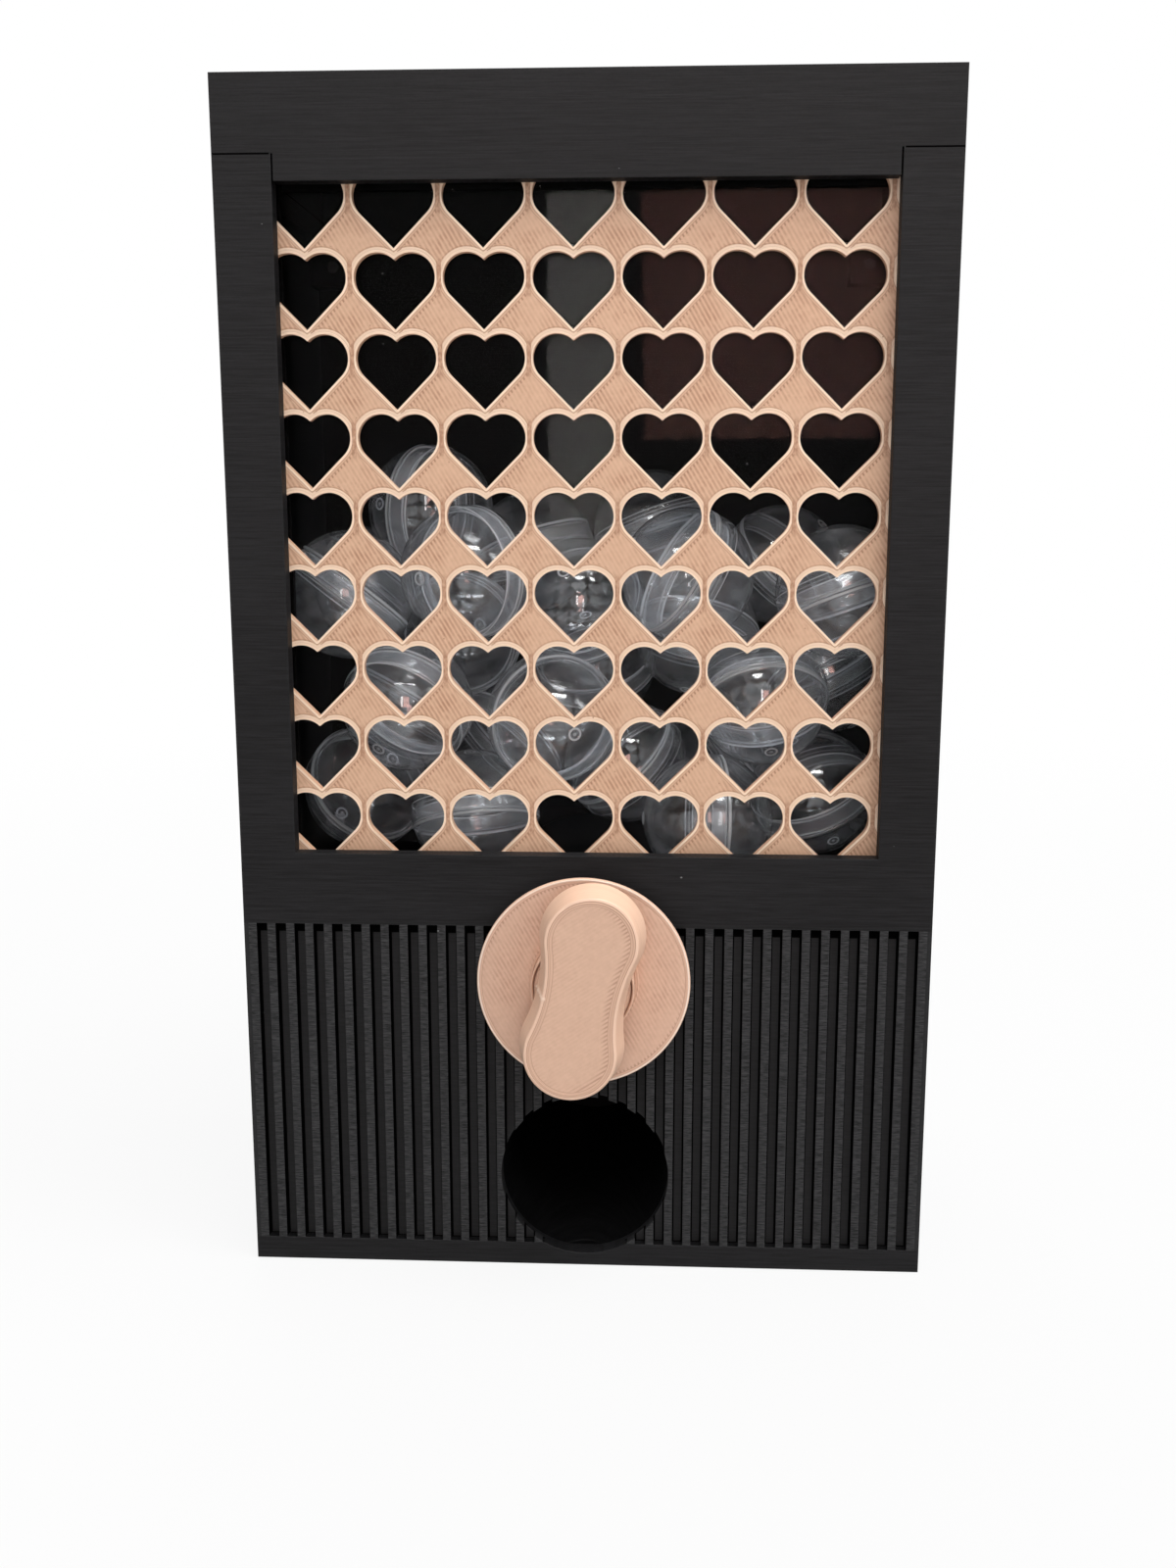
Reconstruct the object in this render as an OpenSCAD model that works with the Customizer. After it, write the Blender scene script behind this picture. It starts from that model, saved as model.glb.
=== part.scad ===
// Capsule vending machine, made of printed parts: a black cabinet with a lift-off lid,
// a heart grille over a clear pane, and a turning knob that drops one capsule at a time.
// Millimetres. Origin at the centre of the base, X to the right, Y to the back, Z up.

/* [Cabinet] */
// Width of the cabinet
body_w = 160; // [134:1:220]
// Depth of the cabinet
body_d = 90; // [75:1:140]
// Height of the cabinet under the lid
body_h = 255; // [220:1:320]
// Side wall, and the lid's wall
wall = 3; // [2.4:0.1:4]
// Front wall
face_wall = 4; // [3.6:0.1:5]
// Base plate
base_t = 3; // [2.4:0.1:5]

/* [Lid] */
// Height of the lid above the cabinet
lid_h = 16.4; // [12:0.2:30]
// Top plate of the lid
lid_top = 3; // [2:0.2:5]
// Drop of the lid's tongue between the stiles, and of its lip inside the walls
tongue_drop = 5.6; // [4:0.2:8]
// Gap at each side of the tongue
tongue_gap = 0.4; // [0.2:0.1:1]
// Wall of the lid's lip
lip_wall = 2.4; // [1.6:0.1:3]

/* [Window] */
// Width of each stile beside the window
stile_w = 12.8; // [11:0.2:20]
// How far the window's lower edge stands above the rotor's bore
sill = 1.2; // [0:0.1:4]
// Overlap of the grille behind each stile
grille_lap = 6.8; // [4:0.2:7]
// Overlap of the grille behind the lower rail
grille_foot = 6; // [4:0.5:6]
// Thickness of the grille
grille_t = 2.2; // [1.6:0.1:3]
// Thickness of the clear pane
pane_t = 2; // [1:0.1:3]
// Thickness of the rib behind the pane
rib_t = 2; // [1.6:0.1:3]
// Lower edge of the grille to the underside of its ledge
slot_floor = 11; // [8:0.1:13]

/* [Hearts] */
// Width of one heart
heart_w = 17.9; // [10:0.1:24]
// Bridge between two hearts of a row
heart_bridge = 1.72; // [1:0.01:6]
// Bridge between a heart's tip and the top of the heart below
heart_tip_bridge = 0.8; // [0.8:0.01:6]
// How far the first column runs behind the left stile
heart_hidden_x = 3.17; // [0:0.01:3.6]
// How far the first row runs behind the lid's tongue
heart_hidden_z = 3; // [0:0.01:4]

/* [Fluted panel] */
// Number of grooves
flute_count = 35; // [15:1:40]
// Width of a groove
flute_w = 2.5; // [1:0.1:3]
// Depth of a groove
flute_depth = 2; // [0.5:0.1:2.4]
// Plain margin at each side
flute_margin = 3; // [2:0.1:8]
// Height of the grooves' lower ends
flute_z0 = 5.5; // [3:0.1:10]
// Height of the plain rail between the grooves and the window
rail_h = 16.9; // [10:0.1:30]

/* [Outlet] */
// Clearance round a capsule in the outlet hole and its trough
outlet_gap = 4; // [2:0.1:6]
// Slope of the trough
trough_slope = 14; // [8:1:14]
// Wall of the trough
trough_wall = 2.4; // [1.6:0.1:3]

/* [Knob] */
// Turn of the knob at rest, clockwise from upright
knob_turn = 10.5; // [0:0.5:30]
// Radius of the knob's disc
disc_r = 24.6; // [18:0.2:26]
// Thickness of the disc
disc_t = 4; // [2:0.1:5]
// Thickness of the disc's rim, which is thinned from behind
disc_rim = 1.4; // [1:0.1:1.8]
// How far the disc's back is smaller than its face
disc_in = 4.5; // [2:0.1:6]
// Gap between the disc and the cabinet
disc_gap = 1; // [0.6:0.1:2]
// Radius of the round boss under the grip
boss_r = 11.8; // [11:0.1:14]
// Gap that the boss keeps between the grip and the disc
boss_show = 5.3; // [1:0.1:8]
// Slit between the boss's rim and the grip
boss_slit = 0.2; // [0.1:0.05:0.5]
// Height of the grip above the boss
grip_h = 7.7; // [6.5:0.1:15]
// Radius of the grip's lobes at their foot
lobe_r = 12.1; // [10:0.1:15]
// Distance of each lobe from the axis
lobe_off = 13.2; // [10:0.1:16]
// How far the grip's waist is drawn in from its lobes, at each side
waist_in = 1.9; // [0.5:0.1:3]
// How far the grip's sides slope in towards its face
grip_draft = 1.5; // [0.5:0.1:2.5]
// Bevel round the grip's face
grip_bevel = 0.5; // [0.2:0.1:1]

/* [Mechanism] */
// Clearance round a capsule in the rotor's pocket
pocket_gap = 1; // [0.5:0.1:3]
// How far the pocket's bottom lies past the rotor's axis
pocket_past = 6; // [2:0.1:8]
// Front wall of the rotor beyond the pocket
rotor_front = 8; // [7:0.5:10]
// Back wall of the rotor beyond the pocket
rotor_back = 4; // [3:0.5:6]
// Radius of the shaft and of the rotor's back journal
shaft_r = 6; // [5:0.1:7.2]
// How far the corners of the shaft's square ends stay inside its round part
corner_in = 0.34; // [0:0.01:1]
// Wall of the bushes
bush_wall = 2.9; // [2:0.1:3]
// Wall beside the rotor's bore in its housing
housing_wall = 3.5; // [3:0.1:5]
// Clearance round a capsule in the drop below the rotor
drop_gap = 2; // [1:0.1:3]
// Height between the outlet hole and the rotor
drop_h = 2.8; // [2:0.1:10]
// How far the rotor's top stands above the hopper floor's lowest edge
rotor_show = 12; // [8:0.5:14]
// Slope of the hopper floor towards the rotor from both sides
bed_slope = 8; // [4:0.5:12]
// Slope of the ramp behind the rotor
back_slope = 12; // [4:0.5:15]
// Thickness of the hopper floor
bed_t = 3; // [2.4:0.1:4]

/* [Capsules] */
// Outer radius of a capsule
capsule_r = 16; // [13:0.1:19.5]
// Wall of a capsule
capsule_wall = 0.8; // [0.6:0.1:1]
// How far a cap's skirt reaches over its bowl
skirt = 2; // [1.6:0.1:4]
// Highest place of a capsule's centre above the hopper floor's lowest edge
pile_h = 94; // [20:1:110]
// Seed of the pile
pile_seed = 63; // [1:1:99]

/* [Fits] */
// Clearance between fitted parts that stay still
fit = 0.3; // [0.2:0.05:0.5]
// Radial clearance of the running bushes
running = 0.06; // [0.03:0.01:0.1]
// Clearance between the rotor and its housing
rotor_gap = 0.5; // [0.3:0.05:1]
// Radius of the screws' shanks
screw_r = 1.5; // [1.2:0.1:1.8]

/* [Hidden] */

$fn = 96;
black = "#29292b";
rose = "#e1b296";
clear = [0.86, 0.9, 0.94, 0.35];
steel = "#b9bcc0";
brass = "#c9a658";
eps = 0.01;
past = 1; // how far a cut runs past the face that it opens

// Planes from the front to the back
half_w = body_w/2;
face_y = -body_d/2;
inner_y = face_y + face_wall;
back_y = body_d/2;
cover_y = back_y - wall;
slot_gap = 0.1;
grille_y = inner_y + slot_gap;
pane_y = grille_y + grille_t + slot_gap;
rib_y = pane_y + pane_t + 2*slot_gap;
slot_back = rib_y + rib_t;
bay_y = slot_back + fit;

// Heights from the outlet up to the window. The rotor's pocket holds one capsule whole
outlet_r = capsule_r + outlet_gap;
outlet_z = base_t + outlet_r;
pocket_r = capsule_r + pocket_gap;
pocket_deep = 2*capsule_r + pocket_gap;
rotor_r = pocket_deep - pocket_past;
drop_r = capsule_r + drop_gap;
axis_z = outlet_z + outlet_r + drop_h + rotor_r;
bore_r = rotor_r + rotor_gap;
bed_z = axis_z + rotor_r - rotor_show;
window_z = axis_z + bore_r + sill;
flute_z1 = window_z - rail_h;

// Inside of the walls, and the window
in_x = half_w - wall;
win_x = half_w - stile_w;
win_top = body_h - tongue_drop;
grille_x = win_x + grille_lap;
grille_z = window_z - grille_foot;
slot_z = grille_z - slot_floor;
slot_top = body_h - 0.5;

// Hearts: a square on its corner with a half circle on each upper side
heart_side = heart_w/(1 + sqrt(1/2));
heart_h = heart_side*(1/2 + 3*sqrt(2)/4);
heart_step_x = heart_w + heart_bridge;
heart_step_z = heart_h + heart_tip_bridge;
heart_cols = floor((2*win_x + heart_hidden_x - heart_w)/heart_step_x) + 1;
heart_rows = floor((win_top - window_z + 2*heart_hidden_z - heart_h)/heart_step_z) + 1;

// Mechanism, from the knob to the back bush
disc_y = face_y - disc_gap - disc_t;
grip_y = disc_y - boss_show;
cheek_y = slot_back + 3*fit;
rotor_y = cheek_y + rotor_gap;
flange_t = 1.3;
washer_t = 1.1;
bush_y = rotor_y - washer_t - slot_gap - flange_t;
bush_r = shaft_r + bush_wall;
bush_fit = 0.05;
flange_r = bush_r + 3;
hub_r = bush_r + 4; // boss inside the front wall, round the front bush
pocket_y = rotor_y + rotor_front + pocket_r;
rotor_end = pocket_y + pocket_r + rotor_back;
plate_y = rotor_end + rotor_gap;
plate_t = 3;
rear_bush_len = 8;
housing_x = bore_r + housing_wall;
mouth_in = 2; // how far the housing ends short of the rotor below
housing_h = rotor_r - mouth_in;
housing_up = bed_z - bed_t - fit - axis_z; // top of the housing over the axis, under the hopper floor
front_plate_t = 2.6;
shaft_sq = sqrt(2)*(shaft_r - corner_in);
square_in = 5; // length of each square end in its socket
socket_gap = 0.1;
socket = shaft_sq + 2*socket_gap;
waist = lobe_r - waist_in;

// Screws, by what they hold: lengths under the head, or under the face of a flat one
hole_r = screw_r + 0.05;
head_r = 1.95*screw_r;
head_h = 1.3*screw_r;
hole_past = 1; // a blind hole's depth past the screw's end
cover_screw = 10;
ear_screw = 9;
plate_screw = 10;
bed_screw = 8;
tab_screw = 7;
shaft_screw = 13;
post = 11; // side of the posts behind the rear cover
post_len = 8;
post_h = 10;
cover_screw_x = in_x - 6;
cover_screw_z = [12, bed_z - 15, body_h - 12];
ear_r = 5;
ear_x = housing_x + ear_r;
ear_z = [9 - housing_h, housing_up - ear_r - 1];
pad_len = cheek_y - inner_y;
plate_ear = 7; // how far the upper corners of the end plate stand out
plate_ear_h = 11;
plate_screws_at = [[housing_x - 3.2, 5 - housing_h], [housing_x + plate_ear/2, housing_up - plate_ear_h/2]];

// Hopper floor: a shallow V from the side walls down to both sides of the rotor, whose top
// stands up between them, and a ramp from the back down to the rotor's top
mouth_x = sqrt(pow(bore_r, 2) - pow(bed_z - bed_t - axis_z, 2));
bed_flat = 12.7; // width of the flat flange along each side wall
bed_x = in_x - fit;
bed_rise = (bed_x - bed_flat - mouth_x)*tan(bed_slope);
ramp_y = plate_y;
ramp_up = 1; // how far the ramp's front edge stands above the rotor's bore
ramp_z = axis_z + bore_r + ramp_up;
ledge_z = bed_z + bed_rise - bed_t;
ledge_w = 9;
ledge_t = 8;
bed_screw_y = [bay_y + 12, cover_y - post_len - 6];

// Outlet trough
trough_end = plate_y + plate_t;
trough_top = axis_z - housing_h - 0.5;
tab_x = outlet_r + trough_wall + 6;
tab_y = [inner_y + 16, inner_y + 44];
tab_z = base_t + 6;
tab_t = 3;
tab_r = 4;

// A screw with a round head and a hexagonal socket, standing on its head's underside
module screw(len) {
    translate([0, 0, -len]) cylinder(r = screw_r, h = len);
    difference() {
        cylinder(r = head_r, h = head_h);
        translate([0, 0, head_h/2]) cylinder(r = screw_r*0.7, h = head_h, $fn = 6);
    }
}

// A screw with a flat countersunk head, its face at the origin
module flat_screw(len, r = screw_r) {
    difference() {
        union() {
            translate([0, 0, -len]) cylinder(r = r, h = len - head_h/2);
            translate([0, 0, -head_h]) cylinder(r1 = r, r2 = 2*r, h = head_h);
        }
        translate([0, 0, -head_h/2]) cylinder(r = r*0.7, h = head_h, $fn = 6);
    }
}

// The hole that takes a flat screw
module flat_hole(len, r = screw_r) {
    gap = hole_r - screw_r;
    translate([0, 0, -len]) cylinder(r = r + gap, h = len + past);
    translate([0, 0, -head_h]) cylinder(r1 = r + gap, r2 = 2*r + gap, h = head_h);
    translate([0, 0, -eps]) cylinder(r = 2*r + gap, h = past);
}

// A box given by its two corners
module block(low, high) { translate(low) cube(high - low); }

// Something that stands along Z, laid along Y to point to the front or to the back
module to_front() { rotate([90, 0, 0]) children(); }
module to_back() { rotate([-90, 0, 0]) children(); }

// The same thing at both sides
module both_sides() { children(); mirror([1, 0, 0]) children(); }

// A cylinder along Y from one plane to the next, round the knob's axis
module round_y(r, from, to) { translate([0, from, 0]) to_back() cylinder(r = r, h = to - from); }

// Everything that turns is drawn round its axis, and turned to its place at rest
module turning(extra = 0) { translate([0, 0, axis_z]) rotate([0, knob_turn + extra, 0]) children(); }

module at_axis() { translate([0, 0, axis_z]) children(); }

module cover_screw_places() {
    both_sides() for (z = cover_screw_z) translate([cover_screw_x, back_y, z]) to_back() children();
}

module ear_places(y) {
    at_axis() both_sides() for (z = ear_z) translate([ear_x, y, z]) to_back() children();
}

module plate_screw_places(y) {
    at_axis() both_sides() for (at = plate_screws_at) translate([at.x, y, at.y]) to_back() children();
}

module bed_screw_places(z) {
    both_sides() for (y = bed_screw_y) translate([in_x - ledge_w/2, y, z]) children();
}

module tab_places(z) {
    both_sides() for (y = tab_y) translate([tab_x, y, z]) children();
}

module flutes() {
    step = (body_w - 2*flute_margin - flute_w)/(flute_count - 1);
    for (i = [0:flute_count - 1])
        translate([-half_w + flute_margin + i*step, face_y - past, flute_z0])
            cube([flute_w, flute_depth + past, flute_z1 - flute_z0]);
}

// Slots for the grille and the pane behind each stile, closed below by a ledge
module window_slot() {
    both_sides() {
        block([grille_x + fit, inner_y - eps, slot_z], [in_x + eps, slot_back, body_h]);
        block([win_x + fit, rib_y, slot_z], [grille_x + fit + eps, slot_back, body_h]);
    }
    block([-in_x - eps, inner_y - eps, slot_z], [in_x + eps, slot_back, grille_z]);
}

module cabinet_shell() {
    color(black) difference() {
        union() {
            difference() {
                block([-half_w, face_y, 0], [half_w, back_y, body_h]);
                block([-in_x, inner_y, base_t], [in_x, back_y + past, body_h + past]);
            }
            window_slot();
            at_axis() round_y(hub_r, inner_y - eps, bush_y);
            ear_places(inner_y - eps) cylinder(r = ear_r, h = pad_len + eps);
            both_sides() {
                block([in_x - ledge_w, bay_y + 4, ledge_z - ledge_t],
                    [in_x + eps, cover_y - post_len, ledge_z]);
                for (z = cover_screw_z)
                    block([in_x - post, cover_y - post_len, z - post_h/2],
                        [in_x + eps, cover_y - fit, z + post_h/2]);
            }
            tab_places(base_t - eps) cylinder(r = tab_r, h = tab_z - base_t);
        }
        block([-win_x, face_y - past, window_z], [win_x, inner_y + eps, body_h + past]);
        flutes();
        translate([0, inner_y + past, outlet_z]) to_front() cylinder(r = outlet_r, h = face_wall + 2*past);
        at_axis() round_y(bush_r + bush_fit, face_y - past, bush_y + past);
        at_axis() round_y(flange_r + fit, bush_y, slot_back + past);
        ear_places(cheek_y + plate_t - ear_screw - hole_past)
            cylinder(r = hole_r, h = ear_screw + hole_past);
        cover_screw_places() translate([0, 0, -cover_screw - hole_past])
            cylinder(r = hole_r, h = cover_screw + hole_past);
        bed_screw_places(ledge_z + bed_t - bed_screw - hole_past)
            cylinder(r = hole_r, h = bed_screw + hole_past);
        tab_places(tab_z + tab_t - tab_screw - hole_past)
            cylinder(r = hole_r, h = tab_screw + hole_past);
    }
}

// The lid is T-shaped at the front: a band the full width, and a tongue between the stiles
module lid() {
    lip_x = in_x - fit;
    lip_z = body_h - tongue_drop;
    cave_y = bay_y + lip_wall;
    color(black) difference() {
        union() {
            block([-half_w, face_y, body_h], [half_w, back_y, body_h + lid_h]);
            block([tongue_gap - win_x, face_y, lip_z], [win_x - tongue_gap, inner_y, body_h + eps]);
            block([-lip_x, bay_y, lip_z], [lip_x, cover_y - fit, body_h + eps]);
        }
        block([lip_wall - lip_x, cave_y, lip_z - past],
            [lip_x - lip_wall, cover_y - fit - lip_wall, body_h + lid_h - lid_top]);
        block([-win_x, inner_y + 1, body_h - past], [win_x, bay_y - 1, body_h + lid_h - lid_top]);
    }
}

module rear_cover() {
    color(black) difference() {
        block([fit - in_x, cover_y, base_t + fit], [in_x - fit, back_y, body_h - fit]);
        cover_screw_places() flat_hole(wall + past);
    }
}

module rear_cover_screws() { color(steel) cover_screw_places() flat_screw(cover_screw); }

// One heart with its tip at the origin. The circles stand a hair inside the square's
// corners, so that no curve only just touches a straight side
module heart() {
    rotate(45) square(heart_side);
    for (side = [-1, 1])
        translate([side*heart_side*sqrt(2)/4, heart_side*3*sqrt(2)/4]) circle(r = heart_side/2 + 0.004);
}

module heart_grille() {
    color(rose) difference() {
        block([-grille_x, grille_y, grille_z + slot_gap], [grille_x, grille_y + grille_t, slot_top]);
        for (col = [0:heart_cols - 1], row = [0:heart_rows - 1])
            translate([heart_w/2 - win_x - heart_hidden_x + col*heart_step_x, grille_y + grille_t + past,
                win_top + heart_hidden_z - heart_h - row*heart_step_z])
                to_front() linear_extrude(grille_t + 2*past) heart();
    }
}

module window_pane() {
    color(clear) block([-grille_x, pane_y, grille_z + slot_gap], [grille_x, pane_y + pane_t, slot_top]);
}

// Outline of the hopper floor from the front: flat flanges, and a V down to the rotor
module bed_section(z_top, z_low) {
    side = bed_x - bed_flat;
    polygon([[-bed_x, bed_rise + z_top], [-side, bed_rise + z_top], [-mouth_x, z_top], [mouth_x, z_top],
        [side, bed_rise + z_top], [bed_x, bed_rise + z_top], [bed_x, bed_rise + z_low],
        [side, bed_rise + z_low], [mouth_x, z_low], [-mouth_x, z_low], [-side, bed_rise + z_low],
        [-bed_x, bed_rise + z_low]]);
}

module hopper_floor() {
    floor_end = cover_y - fit;
    ramp_top = ramp_z + (floor_end - ramp_y)*tan(back_slope);
    ramp_x = in_x - ledge_w - fit;
    color(black) difference() {
        union() {
            translate([0, floor_end, 0]) to_front() linear_extrude(floor_end - bay_y)
                bed_section(bed_z, bed_z - bed_t);
            translate([-ramp_x, 0, 0]) rotate([90, 0, 90]) linear_extrude(2*ramp_x)
                polygon([[ramp_y, bed_z - bed_t + 0.5], [floor_end, bed_z - bed_t + 0.5],
                    [floor_end, ramp_top], [ramp_y, ramp_z]]);
        }
        at_axis() round_y(bore_r, cheek_y - past, plate_y + past);
        bed_screw_places(ledge_z - past) cylinder(r = hole_r, h = bed_t + 2*past);
    }
}

module hopper_screws() { color(steel) bed_screw_places(ledge_z + bed_t) screw(bed_screw); }

module rotor_housing() {
    low_z = axis_z - housing_h;
    color(black) difference() {
        union() {
            block([-housing_x, cheek_y, low_z], [housing_x, plate_y, axis_z + housing_up]);
            at_axis() both_sides() block([housing_x - eps, plate_y - plate_screw, housing_up - plate_ear_h],
                [housing_x + plate_ear, plate_y, housing_up]);
            block([-housing_x, cheek_y - front_plate_t, low_z], [housing_x, cheek_y + eps, slot_z - past]);
            ear_places(cheek_y) cylinder(r = ear_r, h = plate_t);
            at_axis() both_sides() for (z = ear_z)
                block([housing_x - eps, cheek_y, z - ear_r], [ear_x, cheek_y + plate_t, z + ear_r]);
        }
        at_axis() {
            round_y(bore_r, cheek_y, plate_y + past);
            round_y(hub_r + fit, cheek_y - front_plate_t - past, cheek_y + past);
        }
        translate([0, pocket_y, low_z - past]) cylinder(r = drop_r, h = housing_h);
        ear_places(cheek_y - past) cylinder(r = hole_r, h = plate_t + 2*past);
        plate_screw_places(plate_y + plate_t - plate_screw - hole_past)
            cylinder(r = hole_r, h = plate_screw + hole_past);
    }
}

module housing_screws() { color(steel) ear_places(cheek_y + plate_t) screw(ear_screw); }

module housing_end_plate() {
    color(black) difference() {
        union() {
            at_axis() block([-housing_x, plate_y, -housing_h],
                [housing_x, plate_y + plate_t, housing_up - plate_ear_h + eps]);
            at_axis() block([-housing_x - plate_ear, plate_y, housing_up - plate_ear_h],
                [housing_x + plate_ear, plate_y + plate_t, housing_up]);
            at_axis() round_y(bush_r + 3, plate_y + plate_t - eps, plate_y + rear_bush_len);
        }
        at_axis() round_y(bush_r + bush_fit, plate_y - past, plate_y + rear_bush_len + past);
        plate_screw_places(plate_y - past) cylinder(r = hole_r, h = plate_t + 2*past);
    }
}

module end_plate_screws() { color(steel) plate_screw_places(plate_y + plate_t) screw(plate_screw); }

// The front bush has its flange inside, where the thrust washer runs on it
module front_bush() {
    color(brass) at_axis() difference() {
        union() {
            round_y(bush_r, face_y, bush_y + eps);
            round_y(flange_r, bush_y, bush_y + flange_t);
        }
        round_y(shaft_r + running, face_y - past, bush_y + flange_t + past);
    }
}

module rear_bush() {
    color(brass) at_axis() difference() {
        round_y(bush_r, plate_y, plate_y + rear_bush_len);
        round_y(shaft_r + running, plate_y - past, plate_y + rear_bush_len + past);
    }
}

// A round trough between upright sides, along a slope that rises to the back from the
// lower edge of the outlet hole
module trough(r, side_x) {
    translate([0, inner_y, outlet_z]) rotate([trough_slope, 0, 0]) to_back()
        translate([0, 0, -body_d/2]) linear_extrude(2*body_d) {
            circle(r = r);
            translate([-side_x, -body_d]) square([2*side_x, body_d]);
        }
}

// The trough is open above, between two side walls that stand on the base
module outlet_chute() {
    slot_x = outlet_r - 0.4;
    side_x = outlet_r + trough_wall + 0.4;
    color(black) difference() {
        union() {
            intersection() {
                trough(outlet_r + trough_wall, outlet_r + trough_wall/2);
                block([-body_w, inner_y, base_t], [body_w, trough_end - trough_wall/2, trough_top]);
            }
            both_sides() block([outlet_r + trough_wall/4, inner_y, base_t], [side_x, trough_end, trough_top]);
            block([-side_x + eps, trough_end - trough_wall, base_t], [side_x - eps, trough_end, trough_top]);
            tab_places(tab_z) cylinder(r = tab_r, h = tab_t);
            both_sides() for (y = tab_y)
                block([outlet_r + trough_wall/2, y - tab_r, tab_z], [tab_x, y + tab_r, tab_z + tab_t]);
        }
        intersection() {
            trough(outlet_r, slot_x);
            block([-body_w, inner_y - past, 0], [body_w, trough_end - trough_wall, body_h]);
        }
        tab_places(tab_z - past) cylinder(r = hole_r, h = tab_t + 2*past);
    }
}

module chute_screws() { color(steel) tab_places(tab_z + tab_t) screw(tab_screw); }

// The pile: each new capsule takes the lowest of a few seeded trial places, then settles
// by smaller steps, on the hopper floor, the ramp, the rotor or the capsules below it. The pile
// ends before the first capsule that would lie above its highest place
pile_gap = 0.3; // least gap between two capsules, and to the walls at the sides
pile_wall = 0.5; // least gap to the walls in front and behind
pile_tries = 60;
capsule_step = 2*capsule_r + pile_gap;
pile_x = bed_x - capsule_r - pile_gap;
pile_y0 = slot_back + capsule_r + pile_wall;
pile_y1 = cover_y - capsule_r - pile_wall;

function limit(v, low, high) = max(low, min(high, v));

// Height of a capsule's centre over the floor at a place
function floor_z(x, y) =
    let (crown = axis_z + sqrt(max(0, pow(rotor_r + capsule_r, 2) - pow(x, 2))),
        sides = bed_z + max(0, abs(x) - mouth_x)*tan(bed_slope) + capsule_r/cos(bed_slope),
        edge = ramp_z + sqrt(max(0, pow(capsule_r, 2) - pow(y - ramp_y, 2))),
        slope = ramp_z + (y - ramp_y)*tan(back_slope) + capsule_r/cos(back_slope),
        on_slope = y > ramp_y - capsule_r*sin(back_slope))
    pile_gap + max(crown, sides, y < ramp_y - capsule_r ? 0 : on_slope ? slope : edge);

function touch_z(x, y, q) =
    let (d = norm([x - q.x, y - q.y])) d < capsule_step ? q.z + sqrt(pow(capsule_step, 2) - pow(d, 2)) : 0;

function rest_z(x, y, placed) = max(concat([floor_z(x, y)], [for (q = placed) touch_z(x, y, q)]));

function lowest(trials) = let (low = min([for (t = trials) t.z])) [for (t = trials) if (t.z == low) t][0];

// Trial places round a point, within a reach that shrinks at each step
function settle(p, placed, seed, reach, tries) =
    reach < 0.5 ? p :
    let (dx = rands(-reach, reach, tries, seed), dy = rands(-reach, reach, tries, seed + 500),
        near = [for (i = [0:tries - 1]) let (x = limit(p.x + dx[i], -pile_x, pile_x),
            y = limit(p.y + dy[i], pile_y0, pile_y1)) [x, y, rest_z(x, y, placed)]])
    settle(lowest(concat([p], near)), placed, seed + 1, reach/2, tries);

function drop(placed, seed) =
    let (xs = rands(-pile_x, pile_x, pile_tries, seed), ys = rands(pile_y0, pile_y1, pile_tries, seed + 900),
        first = lowest([for (i = [0:pile_tries - 1]) [xs[i], ys[i], rest_z(xs[i], ys[i], placed)]]))
    settle(first, placed, seed + 40, 8, pile_tries/2);

function pile(placed = []) =
    let (next = drop(placed, pile_seed + 31*len(placed)))
    next.z > bed_z + pile_h ? placed : pile(concat(placed, [next]));

// Every capsule lies its own way round
module each_capsule() {
    places = pile();
    tilts = rands(20, 160, len(places), pile_seed);
    spins = rands(0, 360, len(places), pile_seed + 1);
    for (i = [0:len(places) - 1]) translate(places[i]) rotate([tilts[i], 0, spins[i]]) children();
}

// The cap's skirt reaches below the equator, over the bowl's rim
rim_h = 1.5;
rim_fit = 0.1;

module below(z) { translate([0, 0, z - 2*capsule_r]) cube(4*capsule_r, center = true); }

module capsule_caps() {
    color(clear) each_capsule() difference() {
        sphere(r = capsule_r);
        sphere(r = capsule_r - capsule_wall);
        below(-skirt);
    }
}

module capsule_bowls() {
    rim_r = capsule_r - capsule_wall - rim_fit;
    color(clear) each_capsule() union() {
        intersection() {
            difference() {
                sphere(r = capsule_r);
                sphere(r = rim_r - 0.1);
            }
            below(-skirt - rim_fit);
        }
        intersection() {
            difference() {
                sphere(r = rim_r);
                sphere(r = rim_r - capsule_wall);
            }
            translate([0, 0, rim_h - 2]) cube([3*capsule_r, 3*capsule_r, 4], center = true);
        }
    }
}

module knob_disc() {
    color(rose) turning() difference() {
        union() {
            round_y(disc_r, disc_y, disc_y + disc_rim);
            translate([0, disc_y + disc_rim/2, 0]) to_back()
                cylinder(r1 = disc_r - 0.6, r2 = disc_r - disc_in, h = disc_t - disc_rim/2);
        }
        round_y(boss_r + bush_fit, disc_y - past, disc_y + disc_t + past);
    }
}

// Outline of the grip: two lobes joined by hollow flanks, drawn in by a margin
lobe_steps = 28;
flank_steps = 10;

function arc(cx, cy, r, from, to, steps, skip) =
    [for (i = [skip:steps - skip]) let (a = from + (to - from)*i/steps) [cx + r*cos(a), cy + r*sin(a)]];

function grip_outline(margin) =
    let (flank_r = (pow(lobe_off, 2) + pow(waist, 2) - pow(lobe_r, 2))/(2*(lobe_r - waist)),
        lean = atan(lobe_off/(flank_r + waist)),
        r = lobe_r - margin, q = flank_r + margin, far = flank_r + waist)
    concat(
        arc(0, lobe_off, r, -lean, 180 + lean, lobe_steps, 0),
        arc(-far, 0, q, lean, -lean, flank_steps, 1),
        arc(0, -lobe_off, r, 180 - lean, 360 + lean, lobe_steps, 0),
        arc(far, 0, q, 180 + lean, 180 - lean, flank_steps, 1));

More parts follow.
